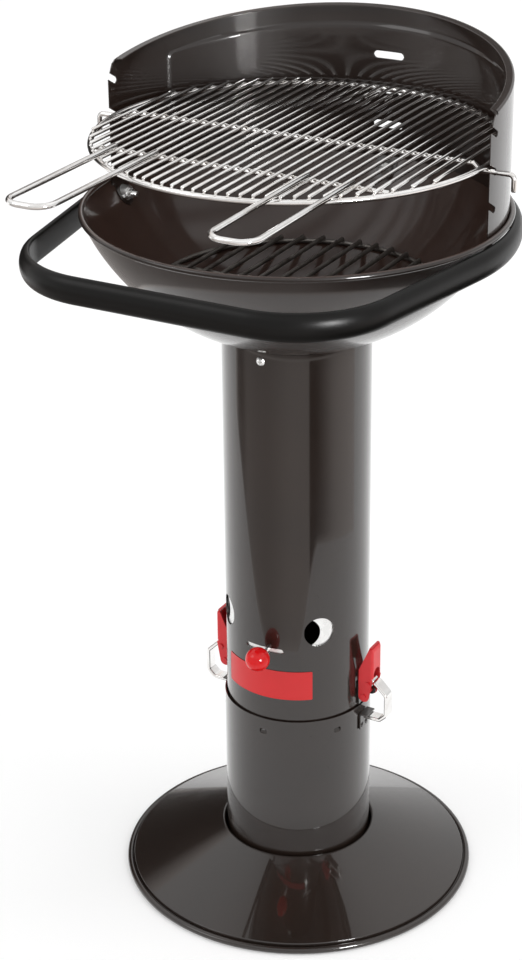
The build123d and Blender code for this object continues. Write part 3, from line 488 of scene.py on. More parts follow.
# %% Bright wire and fire grate
def wire_finish(name, light, dark, rough, drift, patch):
    """Metal between two greys, roughness from rough to rough + drift, in patches per metre."""
    material, place = new_finish(name)
    cloud = noise(place, patch, 4.0, 0.6)
    fine = noise(place, 700.0, 2.0)
    close_finish(place, {
        "Base Color": cloud.smooth(0.35, 0.75).mix(light, dark),
        "Metallic": 1.0,
        "Roughness": rough + cloud * drift + fine * 0.05,
        "Normal": bump(fine, 0.04 * MM, 0.5),
    })
    return material


NICKEL = {"light": (0.96, 0.95, 0.94, 1), "dark": (0.78, 0.75, 0.72, 1)}
BURNT = {"light": (0.30, 0.28, 0.26, 1), "dark": (0.12, 0.10, 0.09, 1)}
bright_wire = wire_finish("plated_wire", **NICKEL, rough=0.04, drift=0.09, patch=28.0)
grate_iron = wire_finish("dull_grate_wire", **BURNT, rough=0.38, drift=0.3, patch=40.0)
print(bright_wire.name, grate_iron.name)

# %% [markdown]
# The air sleeve and the small fasteners are galvanised. Zinc freezes in flat crystals, so a Voronoi
# pattern of cells, each with its own grey and gloss, gives the spangle.

# %% Zinc
zinc, place = new_finish("spangled_zinc")
cells = place.node("TexVoronoi", {"Vector": place, "Scale": 170.0}, "Color")
shade = place.node("SeparateColor", {"Color": cells})
streak = noise(place, 60.0, 3.0)
close_finish(place, {
    "Base Color": (shade * 0.6 + streak * 0.4).mix((0.78, 0.78, 0.77, 1), (0.93, 0.93, 0.92, 1)),
    "Metallic": 1.0,
    "Roughness": 0.22 + shade * 0.12 + streak * 0.08,
    "Normal": bump(shade, 0.03 * MM, 0.4),
})
print(zinc.name)

# %% [markdown]
# Three reds: the levers are painted, the ball is moulded plastic, and the plate on the column is
# enamelled. They differ in gloss and in the size of their surface grain more than in colour.

# %% Reds
def red_finish(name, dark, light, rough, grains, depth, coat):
    """Red between two tones with a grain, in grains per metre and a depth in mm, under a coat."""
    material, place = new_finish(name)
    cloud = noise(place, 55.0, 3.0)
    grain = noise(place, grains, 2.0)
    close_finish(place, {
        "Base Color": cloud.smooth(0.3, 0.7).mix(dark, light),
        "Roughness": rough + grain * 0.08,
        "IOR": 1.5,
        "Specular IOR Level": 0.3,
        "Coat Weight": coat - cloud * 0.1,
        "Coat Roughness": 0.05,
        "Normal": bump(grain, depth * MM, 0.6),
    })
    return material


LEVER_RED = {"dark": (0.61, 0.018, 0.024, 1), "light": (0.66, 0.022, 0.028, 1)}
BALL_RED = {"dark": (0.64, 0.004, 0.006, 1), "light": (0.70, 0.006, 0.008, 1)}
LABEL_RED = {"dark": (0.600, 0.018, 0.020, 1), "light": (0.615, 0.019, 0.022, 1)}
red_paint = red_finish("red_lever_paint", **LEVER_RED, rough=0.30, grains=900.0, depth=0.05, coat=0.25)
red_ball = red_finish("red_ball_plastic", **BALL_RED, rough=0.10, grains=300.0, depth=0.02, coat=0.2)
red_label = red_finish("red_label_enamel", **LABEL_RED, rough=0.26, grains=1600.0, depth=0.006, coat=0.2)
print(red_paint.name, red_ball.name, red_label.name)

# %% [markdown]
# The foot is one pressed sheet: a seat for the pot, a short wall, a bend and a flat cone down to a rim
# rolled round a wire. It is a turned surface. Its outline runs along the upper side, round the roll
# and back along the underside, which is the upper line moved down by the sheet's thickness.

# %% Foot
SHEET = 1.2 * MM
SEAT_R, FOOT_ROLL, ROLL_LIFT, POT_GAP = mm(45, 3.6, 3.5, 1.9)
FOOT_BENDS = mm(3.0, 3.0, 1.1)
pot_low, pot_high = span("ash_pot")
foot_r, _, foot_top = span("base_cone")[1]
pot_r, _, pot_top = pot_high
seat_z = pot_low[2]
opening_r = pot_r + POT_GAP
roll_mid = np.array([foot_r - FOOT_ROLL, ROLL_LIFT])
cone_end = roll_mid + mm(-4.6, 5.9)
roll_start = roll_mid + mm(-3.8, 1.6)
foot_line = [(SEAT_R, seat_z), (opening_r, seat_z), (opening_r, foot_top), cone_end, roll_start]
upper = bent(foot_line, FOOT_BENDS, 9)
travel = unit(np.gradient(upper, axis=0))
under = upper + np.stack([travel[:, 1], -travel[:, 0]], 1) * SHEET
roll = arc(roll_mid, FOOT_ROLL, 158, -180, 48)
roll[:, 1] = np.maximum(roll[:, 1], 0.0)
foot_outline = np.vstack([upper, roll, under[::-1]])
add_piece("foot", [turned(foot_outline, 240)], ["base_cone"], enamel)

# %% [markdown]
# The pot is a deep drawn cup. Six short tabs are cut and pushed inwards near its mouth to carry the
# column, which leaves six small windows. A sheet with openings gives them; the tabs are six little
# leaves that lean in from the lower edge of each window.

# %% Pot
TAB_WIDTH, TAB_HEIGHT, TAB_LEAN, TAB_CORNER = mm(8.0, 6.0, 3.0, 0.8)
POT_CORNER = 14 * MM
tube_low, tube_high = span("column_tube")
tube_r, _, tube_top = tube_high
tube_foot = tube_low[2]


def run_along(line):
    """Length along a line at each of its points: the sum of the steps before it."""
    return np.concatenate([[0], np.cumsum(np.linalg.norm(np.diff(line, axis=0), axis=1))])


pot_line = bent([(0, seat_z), (pot_r, seat_z), (pot_r, pot_top)], POT_CORNER, 10)
pot_run = run_along(pot_line)
window_z = tube_foot - TAB_HEIGHT / 2
window_run = pot_run[-1] - (pot_top - window_z)


def pot_shape(angle, run):
    """Point at an angle round the axis and a length along the pot's outline."""
    r, z = [np.interp(run, pot_run, numbers) for numbers in pot_line.T]
    return round_axis(r, angle, z)


def from_nearest(angle, count):
    """Angle from the nearest of several evenly spaced directions, of which one is 0."""
    part = 2 * np.pi / count
    return (angle + part / 2) % part - part / 2


def pot_windows(angle, run):
    """Distance to the nearest window, in metres."""
    return panel(from_nearest(angle, 6) * pot_r, run - window_run, TAB_WIDTH, TAB_HEIGHT, TAB_CORNER)


def leaf(angle):
    """Tab on a grid of width and height: it leans in by the height to the power 1.5."""
    across, high = lattice(np.linspace(-0.5, 0.5, 7), np.linspace(0, 1, 8))
    r = pot_r - SHEET * 0.2 - TAB_LEAN * high**1.5
    z = window_z - TAB_HEIGHT / 2 + high * (TAB_HEIGHT - 0.5 * MM)
    return shell(round_axis(r, angle + across * TAB_WIDTH / pot_r, z))


rows = np.unique(np.concatenate([
    pot_run,
    np.linspace(pot_run[-2], window_run - 8 * MM, 8),
    np.linspace(window_run - 6 * MM, window_run + 6 * MM, 13),
    [pot_run[-1] - 1.0 * MM],
]))
columns = np.linspace(0, 2 * np.pi, 361) + np.pi / 6
pot_sheet = cut_sheet(*lattice(columns, rows), pot_windows, pot_shape)
leaves = [leaf(angle) for angle in np.radians(np.arange(0, 360, 60))]
add_piece("pot", [pot_sheet] + leaves, ["ash_pot"], enamel, SHEET, 0.35 * MM)

# %% [markdown]
# The column is a rolled tube with four air holes, a slot for the air lever and a welded seam down its
# back. The same sheet tool makes it. The rows are close together only where there are openings,
# because a straight tube needs no points elsewhere.

# %% Column
AIR_HOLE_R, SLOT_WIDTH, SLOT_HEIGHT = mm(17.0, 46.5, 6.0)
SEAM_WIDTH, SEAM_DEPTH = mm(1.6, 0.35)
hole_z = tube_foot + 124.0 * MM
slot_z = tube_foot + 100.3 * MM


def column_openings(angle, z):
    """Distance to the nearest air hole or to the lever's slot."""
    holes = np.hypot(from_nearest(angle - np.pi / 4, 4) * tube_r, z - hole_z) - AIR_HOLE_R
    slot = stadium(from_nearest(angle, 1) * tube_r, z - slot_z, SLOT_WIDTH, SLOT_HEIGHT)
    return np.minimum(holes, slot)


def column_shape(angle, z):
    """Point on the tube; the seam is a shallow groove at the back."""
    from_seam = np.abs(from_nearest(angle - np.pi, 1)) * tube_r
    return round_axis(tube_r - SEAM_DEPTH * (1 - ramp(from_seam, 0.2 * MM, SEAM_WIDTH)), angle, z)


rows = np.concatenate([
    tube_foot + mm(0, 1.0, 20, 45, 70, 86),
    np.arange(slot_z - 8 * MM, hole_z + 22 * MM, 1.5 * MM),
    np.linspace(hole_z + 30 * MM, tube_top - 6 * MM, 9),
    [tube_top - 1.0 * MM, tube_top],
])
seam = mm(0, 0.3, 0.9, 1.6, 2.4) / tube_r
around = np.linspace(-np.pi + 0.04, np.pi - 0.04, 372)
columns = np.concatenate([-np.pi + seam, around, np.pi - seam[::-1]])
column_sheet = cut_sheet(*lattice(columns, rows), column_openings, column_shape)
add_piece("column", [column_sheet], ["column_tube"], enamel, SHEET, 0.4 * MM)

# %% [markdown]
# The plate on the front of the column is bare. It is a thin curved sheet with small round corners and
# a fine raised border, which catches a line of light.

# %% Label
LABEL_CORNER, BORDER_HEIGHT = mm(1.6, 0.16)
label_low, label_high = span("front_label")
label_r = tube_r + 0.55 * MM
label_half = np.arcsin(label_high[0] / label_r)
label_mid = middle_of("front_label")[2]
label_tall = label_high[2] - label_low[2]


def label_edge(angle, z):
    """Distance inside the plate's outline, below 0 outside it."""
    return -panel(angle * label_r, z - label_mid, 2 * label_half * label_r, label_tall, LABEL_CORNER)


def label_shape(angle, z):
    """Point on the plate, a little lower inside its border."""
    inside = ramp(label_edge(angle, z), 0.9 * MM, 1.5 * MM)
    return round_axis(label_r - BORDER_HEIGHT * inside, angle, z)


columns = np.linspace(-label_half - 0.006, label_half + 0.006, 190)
rows = np.linspace(label_low[2] - 0.5 * MM, label_high[2] + 0.5 * MM, 68)
label_sheet = cut_sheet(*lattice(columns, rows), label_edge, label_shape)
add_piece("label", [label_sheet], ["front_label"], red_label, 0.32 * MM, 0.1 * MM)

# %% [markdown]
# The bowl is part of a ball with a short neck that stands in the column and a rolled rim. Turned
# surfaces show every kink in their outline, so the ball's arcs get many points and the roll is a
# full circle that starts and ends where it meets the sheet.

# %% Bowl
ROLL, BOWL_DEPTH, FIT = mm(3.0, 144.9, 0.3)
# Lighter brown inside the bowl: partly a smoke film, partly the fire's glow painted into the colour.
FILM_AND_GLOW_BROWN = (0.050, 0.026, 0.019, 1)
bowl_low, bowl_high = span("fire_bowl")
rim_mid = np.array([bowl_high[0] - ROLL, bowl_high[2] - ROLL])
rim_z = rim_mid[1] - ROLL + SHEET
rim_r = rim_mid[0] + SHEET / 2
ball_r = (rim_r**2 + BOWL_DEPTH**2) / (2 * BOWL_DEPTH)
ball_z = rim_z - BOWL_DEPTH + ball_r
ball_in = ball_r - SHEET
neck_r = tube_r - SHEET - FIT
neck_in_r = neck_r - SHEET
neck_foot = bowl_low[2]


def ball_line(radius, first_r, last_z):
    """Points of the bowl's ball from a distance round the axis up to a height."""
    first = -np.arctan2(np.sqrt(radius**2 - first_r**2), first_r)
    last = np.arcsin((last_z - ball_z) / radius)
    angle = np.linspace(first, last, 60)
    return np.stack([radius * np.cos(angle), ball_z + radius * np.sin(angle)], 1)


outer = ball_line(ball_r, neck_r + 3 * MM, rim_mid[1] - ROLL)
inner = ball_line(ball_in, neck_in_r + 2 * MM, rim_mid[1] - ROLL * 0.93)
neck_out = bent([(neck_r, neck_foot), (neck_r, outer[0, 1] - 1.2 * MM), outer[0]], 1.0 * MM, 5)
neck_in = bent([(neck_in_r, neck_foot), (neck_in_r, inner[0, 1] - 0.8 * MM), inner[0]], 0.8 * MM, 5)
rim = arc(rim_mid, ROLL, -82, 241, 34)
bowl_outline = np.vstack([neck_out[:-1], outer, rim, inner[::-1], neck_in[::-1][1:]])
# The bowl's enamel is lighter brown inside: partly a smoke film, partly painted glow of the fire.
bowl_enamel = enamel_finish("smoked_bowl_enamel_with_painted_glow", **SMOKED, film_and_glow=(ball_z, ball_in + 0.2 * MM, FILM_AND_GLOW_BROWN))
add_piece("bowl", [turned(bowl_outline, 288)], ["fire_bowl"], bowl_enamel)

# %% [markdown]
# The handle bar is a D-shaped tube bent to one closed line: straight at the front, two wide corners,
# two arms and a half circle round the back of the bowl. A section with soft corners is carried along
# that line, which lies flat, so that up is +Z all the way.

# %% Handle bar
BAR_DEPTH, BAR_EDGE, BAR_CORNER, BAR_LEAN = 11.0 * MM, 2.6 * MM, 100.0 * MM, 10
bar_low, bar_high = span("handle_bar")
bar_half = (bar_high[2] - bar_low[2]) / 2
bar_z = middle_of("handle_bar")[2]
bar_in = bar_high[1] - BAR_DEPTH
bar_front = -bar_low[1] - BAR_DEPTH
lean = np.radians(BAR_LEAN)
arm_x = bar_in * np.cos(lean) - np.tan(lean) * (bar_front - bar_in * np.sin(lean))
corner_reach = BAR_CORNER * np.tan((np.pi / 2 - lean) / 2)
arm_top = np.array([bar_in * np.cos(lean), -bar_in * np.sin(lean)])
arm_foot = np.array([arm_x, -bar_front]) + corner_reach * np.array([np.sin(lean), np.cos(lean)])
front_end = np.array([arm_x - corner_reach, -bar_front])
right_half = np.vstack([
    np.linspace([0, -bar_front], front_end, 14)[:-1],
    arc(front_end + [0, BAR_CORNER], BAR_CORNER, -90, -BAR_LEAN, 40),
    np.linspace(arm_foot, arm_top, 16)[1:-1],
    arc((0, 0), bar_in, -BAR_LEAN, 90, 90),
])
loop = np.vstack([right_half, (right_half * [-1, 1])[::-1][1:-1]])
bar_path = points_at(loop[:, 0], loop[:, 1], bar_z)
oval = np.radians(np.linspace(-90, 90, 29))
bar_section = np.vstack([
    np.stack([BAR_EDGE + (BAR_DEPTH - BAR_EDGE) * np.cos(oval), bar_half * np.sin(oval)], 1),
    arc((BAR_EDGE, bar_half - BAR_EDGE), BAR_EDGE, 100, 180, 7),
    [(0, bar_half / 2), (0, 0), (0, -bar_half / 2)],
    arc((BAR_EDGE, -bar_half + BAR_EDGE), BAR_EDGE, 180, 260, 7),
])
add_piece("handle", [carried(bar_path, bar_section, closed=True)], ["handle_bar"], handle_paint)

# %% [markdown]
# The wind screen is half a cylinder with a sloping top. Its top edge is turned inwards into a flange,
# both ends have three notches for the grid's hooks, and the back has three slots for its bail. The
# height coordinate of the screen's grid follows the sheet round the bend of the flange, so that the
# whole screen is one surface of two parameters. The openings come first.

# %% Openings of the wind screen
SCREEN_END, SLOPE = np.radians(87.4), 0.161
NOTCH_STEP, NOTCH_Y, NOTCH_HALF, NOTCH_LEAN = 38.5 * MM, 3.0 * MM, 3.4 * MM, np.pi / 6
REAR_WIDTH, REAR_HEIGHT = mm(36, 8)
HEM_DEPTH, HEM_SHORT = mm(2.6, 14)
CORNER_SLANT, SLANT_LENGTH, CORNER_CUT = 0.62, 1.18, 9.0 * MM
RING_WIRE, BAR_WIRE, CROSS_WIRE, LOOP_WIRE, BAIL_WIRE = mm(3.0, 2.0, 2.75, 3.0, 2.0)
GAP, FAR = 0.05 * MM, 1.0
screen_r = rim_mid[0] - ROLL - FIT
mid_top = rim_mid[1] + 127.0 * MM
grid_z = middle_of("grid_ring")[2]
hook_z = grid_z - RING_WIRE - GAP - CROSS_WIRE
bail_z = grid_z - RING_WIRE - GAP - BAIL_WIRE
rear_z = bail_z + 1.7 * MM


def top_height(angle, r):
    """Height of the sloping top plane over a point."""
    return mid_top - SLOPE * r * np.cos(angle)


def screen_cuts(angle, level):
    """Distance to the nearest notch, rear slot or cut corner; level is the height along the sheet.

    A notch is a strip with a round end that leans by NOTCH_LEAN, and the flange ends before the wall.
    """
    side = -screen_r * np.cos(angle) - NOTCH_Y
    back = np.abs(angle - np.pi) < 0.5
    cut = np.full(angle.shape, FAR)
    for place in (-1, 0, 1):
        rise = level - hook_z - place * NOTCH_STEP
        along = side * np.cos(NOTCH_LEAN) - rise * np.sin(NOTCH_LEAN)
        across = side * np.sin(NOTCH_LEAN) + rise * np.cos(NOTCH_LEAN)
        notch = np.hypot(np.maximum(along, 0), across) - NOTCH_HALF
        rear_rise = level - rear_z - place * NOTCH_STEP
        slot = stadium((angle - np.pi) * screen_r, rear_rise, REAR_WIDTH, REAR_HEIGHT)
        cut = np.minimum(cut, np.where(back, slot, notch))
    from_end = np.minimum(angle - SCREEN_END, 2 * np.pi - SCREEN_END - angle) * screen_r
    below_top = top_height(angle, screen_r) - level
    corner = (from_end + CORNER_SLANT * below_top) / SLANT_LENGTH - CORNER_CUT
    hem_end = np.where(below_top < HEM_DEPTH, from_end - HEM_SHORT, FAR)
    return np.minimum(cut, np.minimum(corner, hem_end))


print("screen radius", round(screen_r / MM, 1), "mm")

# %% [markdown]
# A panel is pressed into the screen's wall. It is a step in the radius, which depends on how far a
# point lies inside the panel's outline. The flange is a bent line in the plane of radius and height,
# read by the length along it.

# %% Pressed panel and flange of the screen
BEND, FLANGE, FLANGE_EDGE = mm(2.2, 9, 2.0)
PANEL_DROP, PANEL_FOOT, PANEL_CORNER = 24 * MM, 0.812, 7 * MM
PANEL_DEPTH, PANEL_STEP = mm(1.9, 1.2)
panel_half = np.radians(67.3) * screen_r
flange = bent([(0, -BEND * 2), (0, 0), (FLANGE, 0), (FLANGE, -FLANGE_EDGE)], [BEND, 0.8 * MM], 6)
flange_run = run_along(flange)


def screen_shape(angle, level):
    """Point on the sheet: the wall up to the bend, then the flange; the pressed panel stands in.

    The distance inside the panel is the least of those to its edges. Near an upper corner it is the
    corner's radius minus the distance to the middle of its arc.
    """
    top = top_height(angle, screen_r)
    run = np.maximum(level - top + 2 * BEND, 0)
    inward, over = [np.interp(run, flange_run, numbers) for numbers in flange.T]
    below = top - PANEL_DROP - level
    beside = panel_half - np.abs(angle - np.pi) * screen_r
    inside = np.minimum(np.minimum(below, beside), level - PANEL_FOOT)
    a = np.maximum(PANEL_CORNER - below, 0)
    b = np.maximum(PANEL_CORNER - beside, 0)
    inside = np.where((a > 0) & (b > 0), PANEL_CORNER - np.hypot(a, b), inside)
    r = screen_r - inward - PANEL_DEPTH * ramp(inside, -PANEL_STEP, PANEL_STEP)
    return round_axis(r, angle, np.where(run > 0, top_height(angle, r) + over, level))


print("flange", round(flange_run[-1] / MM, 1), "mm along the sheet")

# %% [markdown]
# The screen stands in the bowl on three ears, which are patches of the bowl's own ball and hold the
# studs. The columns of the sheet are close together at both ends, where the notches are.

# %% Wind screen
SCREEN_SHEET = 1.0 * MM
EAR_TALL, EAR_HALF = 24.6 * MM, np.radians(3.2)
STUD_ANGLES = (91.5, 180.0, 268.5)
ear_out = ball_in - FIT
screen_foot = ball_z - np.sqrt(ear_out**2 - screen_r**2)


def ear(middle):
    """Tab inside the bowl below the screen: a patch of the ball, narrower towards its round foot."""
    part, low = lattice(np.linspace(-1, 1, 15), np.linspace(0, 1, 16))
    z = screen_foot + 0.6 * MM - low * EAR_TALL
    r = np.sqrt(ear_out**2 - (ball_z - z) ** 2)
    width = EAR_HALF * np.sqrt(1 - np.clip((low - 0.45) / 0.55, 0, 1) ** 2 * 0.995)
    points, faces = shell(round_axis(r, np.radians(middle) + part * width, z))
    return points, faces[:, ::-1]


ends = np.linspace(0, 24 * MM, 21) / screen_r
last_end = 2 * np.pi - SCREEN_END
columns = np.concatenate([
    SCREEN_END + ends,
    np.linspace(SCREEN_END + ends[-1], last_end - ends[-1], 330)[1:-1],
    last_end - ends[::-1],
])
wall_top = (top_height(columns, screen_r) - 2 * BEND)[:, None]
wall = screen_foot + (wall_top - screen_foot) * np.linspace(0, 1, 84)
level_grid = np.hstack([wall, wall_top + flange_run[None, 1:]])
angle_grid = np.repeat(columns[:, None], level_grid.shape[1], 1)
screen_sheet = cut_sheet(angle_grid, level_grid, screen_cuts, screen_shape)
ears = [ear(middle) for middle in STUD_ANGLES]
add_piece("screen", [screen_sheet] + ears, ["wind_screen"], fire_enamel, SCREEN_SHEET, 0.3 * MM)

# %% [markdown]
# The cooking grid is welded wire. Each wire is a round section carried along its line, with domed ends.
# Resistance welding squeezes a little metal out where two wires cross, so each crossing gets a flat
# drop. One drop has few points and all the drops of a row are placed in one array sum.

# %% Cooking grid
FRONT_Y, CROSS_HALF = mm(-121.0, 166.0)
RING_WELD, RING_POINTS, RING_SIDES = 0.998, 240, 16
grid_low, grid_high = span("grid_ring")
bars_low, bars_high = span("grid_bars")
ring_mid = (grid_high[0] - grid_low[0]) / 2 - RING_WIRE
bar_level = middle_of("grid_bars")[2]
bar_x = np.linspace(bars_low[0] + BAR_WIRE, bars_high[0] - BAR_WIRE, 33)
bar_reach = np.sqrt(ring_mid**2 - bar_x**2)


def ring(radius, z, wire_r, count, sides):
    """Closed wire round the axis: a round section carried along a circle."""
    return carried(round_axis(radius, full_turn(count), z), circle_section(wire_r, sides), closed=True)


def straight(start, end):
    """Eight evenly spaced points from start to end."""
    return np.linspace(start, end, 8)


def bar_row(places, reaches, z, wire_r, sides=14):
    """Straight wires along Y, one at each place, from -reach to reach."""
    lines = [straight((x, -reach, z), (x, reach, z)) for x, reach in zip(places, reaches)]
    return [wire(line, wire_r, sides) for line in lines]


def drops(middles, size):
    """Flat drops: a ball of 8 by 5 points, scaled by a size in mm and added to every middle at once."""
    lon, lat = lattice(full_turn(8), np.linspace(-np.pi / 2, np.pi / 2, 5))
    ball, faces = shell(points_at(np.cos(lat) * np.cos(lon), np.cos(lat) * np.sin(lon), np.sin(lat)), True)
    points = middles[:, None] + ball * mm(*size)
    faces = faces + np.arange(len(middles))[:, None, None] * len(ball)
    return points.reshape(-1, 3), faces.reshape(-1, 4)


grid_ring = ring(ring_mid, grid_z, RING_WIRE, RING_POINTS, RING_SIDES)
add_piece("grid_rim", [grid_ring], ["grid_ring"], bright_wire)
seam_z = bar_level - BAR_WIRE
on_ring = np.vstack([points_at(bar_x, way * bar_reach * RING_WELD, seam_z) for way in (-1, 1)])
on_cross = np.vstack([points_at(bar_x[1:-1], y, seam_z) for y in (NOTCH_Y, FRONT_Y)])
on_cross = on_cross[np.abs(on_cross[:, 0]) < CROSS_HALF]
welds = [drops(on_ring, (1.9, 2.4, 0.8)), drops(on_cross, (2.0, 2.2, 0.7))]
add_piece("grid_wires", bar_row(bar_x, bar_reach, bar_level, BAR_WIRE) + welds, ["grid_bars"], bright_wire)

# %% [markdown]
# Two wires cross under the bars. The middle one dips below the ring, runs out through the notches of
# the screen and turns down into a hook on both sides. The loops for lifting the grid lie on top of
# the bars, and a small bail at the back drops into a slot of the screen.

# %% Cross wires, bail and loops
ALONG_Y, LOOP_BARS = (0, 1, 0), np.array([7, 11])
SIDES = (("right", 1), ("left", -1))
HOOK_REACH, HOOK_DROP, DIP_BACK, DIP_RUN = mm(20.0, 18.0, 14.0, 7.0)
BAIL_HALF, BAIL_LEG, LOOP_CORNER, LEG_WELD_Y = mm(12.0, 38.0, 18.0, -160.0)
hook_x = screen_r + HOOK_REACH
dip_x = ring_mid - DIP_BACK
cross_level = bar_level - BAR_WIRE - GAP - CROSS_WIRE
half_x = [hook_x, hook_x, dip_x + DIP_RUN, dip_x]
half_line = points_at(half_x, NOTCH_Y, [hook_z - HOOK_DROP, hook_z, hook_z, cross_level])
middle_line = bent(np.vstack([half_line * [-1, 1, 1], half_line[::-1]]), 5.0 * MM, 8)
middle_wire = wire(middle_line, CROSS_WIRE, up=ALONG_Y)
add_piece("grid_middle_hooks", [middle_wire], ["grid_middle_wire"], bright_wire)
front_low, front_high = span("grid_front_wire")
front_line = straight((front_low[0], FRONT_Y, cross_level), (front_high[0], FRONT_Y, cross_level))
add_piece("grid_front_cross", [wire(front_line, CROSS_WIRE)], ["grid_front_wire"], bright_wire)
bail_y = screen_r + 1.0 * MM
bail_x = np.array([-1, -1, 1, 1]) * BAIL_HALF
leg_y = bail_y - BAIL_LEG
bail_line = bent(points_at(bail_x, [leg_y, bail_y, bail_y, leg_y], bail_z), 6.0 * MM)
add_piece("grid_bail", [wire(bail_line, BAIL_WIRE)], ["grid_rear_hook"], bright_wire)
pitch = bar_x[1] - bar_x[0]
loop_z = bar_level + BAR_WIRE + GAP + LOOP_WIRE
for side, mark in SIDES:
    loop_low, loop_high = span(f"{side}_grid_handle")
    near, far = mark * LOOP_BARS * pitch
    tip_y, end_y = loop_low[1] + LOOP_WIRE, loop_high[1]
    corners = points_at([near, near, far, far], [end_y, tip_y, tip_y, end_y], loop_z)
    leg_y = np.linspace(end_y - 4 * MM, LEG_WELD_Y, 4)
    leg_welds = np.vstack([points_at(x, leg_y, loop_z - LOOP_WIRE) for x in (near, far)])
    shells = [wire(bent(corners, LOOP_CORNER, 10), LOOP_WIRE, 16), drops(leg_welds, (2.4, 3.0, 1.0))]
    add_piece(f"{side}_lifting_loop", shells, [f"{side}_grid_handle"], bright_wire)

# %% [markdown]
# The fire grate is simpler wire work: a ring that rests in the bowl, bars on it and one wire below.

# %% Fire grate
GRATE_WIRE, GRATE_SIDES, GRATE_WELD = 2.5 * MM, 12, 0.995
grate_r = span("grate_ring")[1][0] - GRATE_WIRE
grate_z = middle_of("grate_ring")[2]
grate_ring = ring(grate_r, grate_z, GRATE_WIRE, 160, GRATE_SIDES)
add_piece("grate_rim", [grate_ring], ["grate_ring"], grate_iron)
rods_low, rods_high = span("grate_bars")
rod_x = np.linspace(rods_low[0] + GRATE_WIRE, rods_high[0] - GRATE_WIRE, 13)
rod_reach = np.sqrt(grate_r**2 - rod_x**2)
rod_z = middle_of("grate_bars")[2]
rods = bar_row(rod_x, rod_reach, rod_z, GRATE_WIRE, GRATE_SIDES)
weld_y = rod_reach * GRATE_WELD
on_rods = np.vstack([points_at(rod_x, way * weld_y, rod_z - GRATE_WIRE) for way in (-1, 1, 0)])
add_piece("grate_rods", rods + [drops(on_rods, (2.6, 2.8, 1.2))], ["grate_bars"], grate_iron)
cross_low, cross_high = span("grate_cross_wire")
cross_line = straight((cross_low[0], 0, grate_z), (cross_high[0], 0, grate_z))
cross_rod = wire(cross_line, GRATE_WIRE, GRATE_SIDES)
add_piece("grate_cross_rod", [cross_rod], ["grate_cross_wire"], grate_iron)

# %% [markdown]
# The air lever ends in a moulded ball. It is turned round the lever's own axis, with a small flat at the
# stem and the faint parting line that a two-part mould leaves.

# %% Ball on the air lever
LEVER_ANGLE, KNOB_R, STEM_R = 3.0, 13.4 * MM, 2.6 * MM
PARTING_DEPTH, PARTING_WIDTH = 0.010, 0.03
knob_face = tube_r + 10.8 * MM
knob_mid = knob_face + KNOB_R - 1.2 * MM
turn = np.radians(np.linspace(-90 + 24.4, 90, 44))
knob_r = KNOB_R * (1 - PARTING_DEPTH * np.exp(-((turn / PARTING_WIDTH) ** 2)))
knob_line = np.stack([knob_r * np.cos(turn), knob_mid + knob_r * np.sin(turn)], 1)
knob_line = np.vstack([[(0.0, knob_face), (STEM_R, knob_face)], knob_line])
knob = turned(knob_line, 64, (0, 0, slot_z), outward(LEVER_ANGLE), UP, closed=False)
add_piece("lever_ball", [knob], ["lever_knob"], red_ball)

# %% [markdown]
# A lever is a pressed channel with a round foot. Seen from the side it has a rear edge and a front, and
# both are functions of the height. Seen from above it is a U: wall, round corner, web, round corner,
# wall. The two together give a grid, and a second small grid closes the top.

# %% Grid of a latch lever
WEB_RISE, TOP_ROUND, TOP_TAPER, TOP_DEPTH = mm(24, 4, 28, 4.7)
TOP_LEAN, LEVER_CORNER, NO_CORNER = mm(1.8, 3.0, 0.01)
SPREAD = np.linspace(-1, 1, 22)[1:-1]


def lever_edges(low, high, pin):
    """Heights of a lever's rows, with its rear edge, its front and the radius of its corners there.

    The foot is a circle round the pin: half its width is the root of radius squared minus depth
    squared. Above the pin the front slants out to the web. Near the top the rear edge comes forward.
    """
    back_r, face_r = np.sort(np.abs([low[0], high[0]]))
    pivot_r, pivot_z, top_z = np.abs(pin[0]), pin[2], high[2]
    foot_rad = pivot_z - low[2]
    web_foot = pivot_z + WEB_RISE
    foot = low[2] + foot_rad * (1 - np.cos(np.linspace(0.05, np.pi / 2, 10)))
    stops = [pivot_z, web_foot, top_z - TOP_ROUND, top_z]
    rows = [np.linspace(*ends, count)[1:] for *ends, count in zip(stops, stops[1:], (14, 26, 7))]
    rise = np.concatenate([foot, *rows])
    bottom = np.sqrt(np.maximum(foot_rad**2 - np.maximum(pivot_z - rise, 0) ** 2, 0))
    taper = np.clip((rise - (top_z - TOP_TAPER)) / TOP_TAPER, 0, 1)
    slant = np.clip((rise - pivot_z) / (web_foot - pivot_z), 0, 1)
    above_rear = back_r + taper * (face_r - TOP_DEPTH - back_r)
    above_fore = pivot_r + foot_rad + slant * (face_r - pivot_r - foot_rad)
    rear = np.where(rise < pivot_z, pivot_r - bottom, above_rear)
    fore = np.where(rise < pivot_z, pivot_r + bottom, above_fore)
    fore = fore - TOP_LEAN * ramp(rise, top_z - TOP_ROUND, top_z + TOP_ROUND / 2)
    corner = np.minimum(LEVER_CORNER, 0.45 * (fore - rear))
    return rise, rear, fore, np.where(rise > web_foot - 0.1 * MM, corner, NO_CORNER)


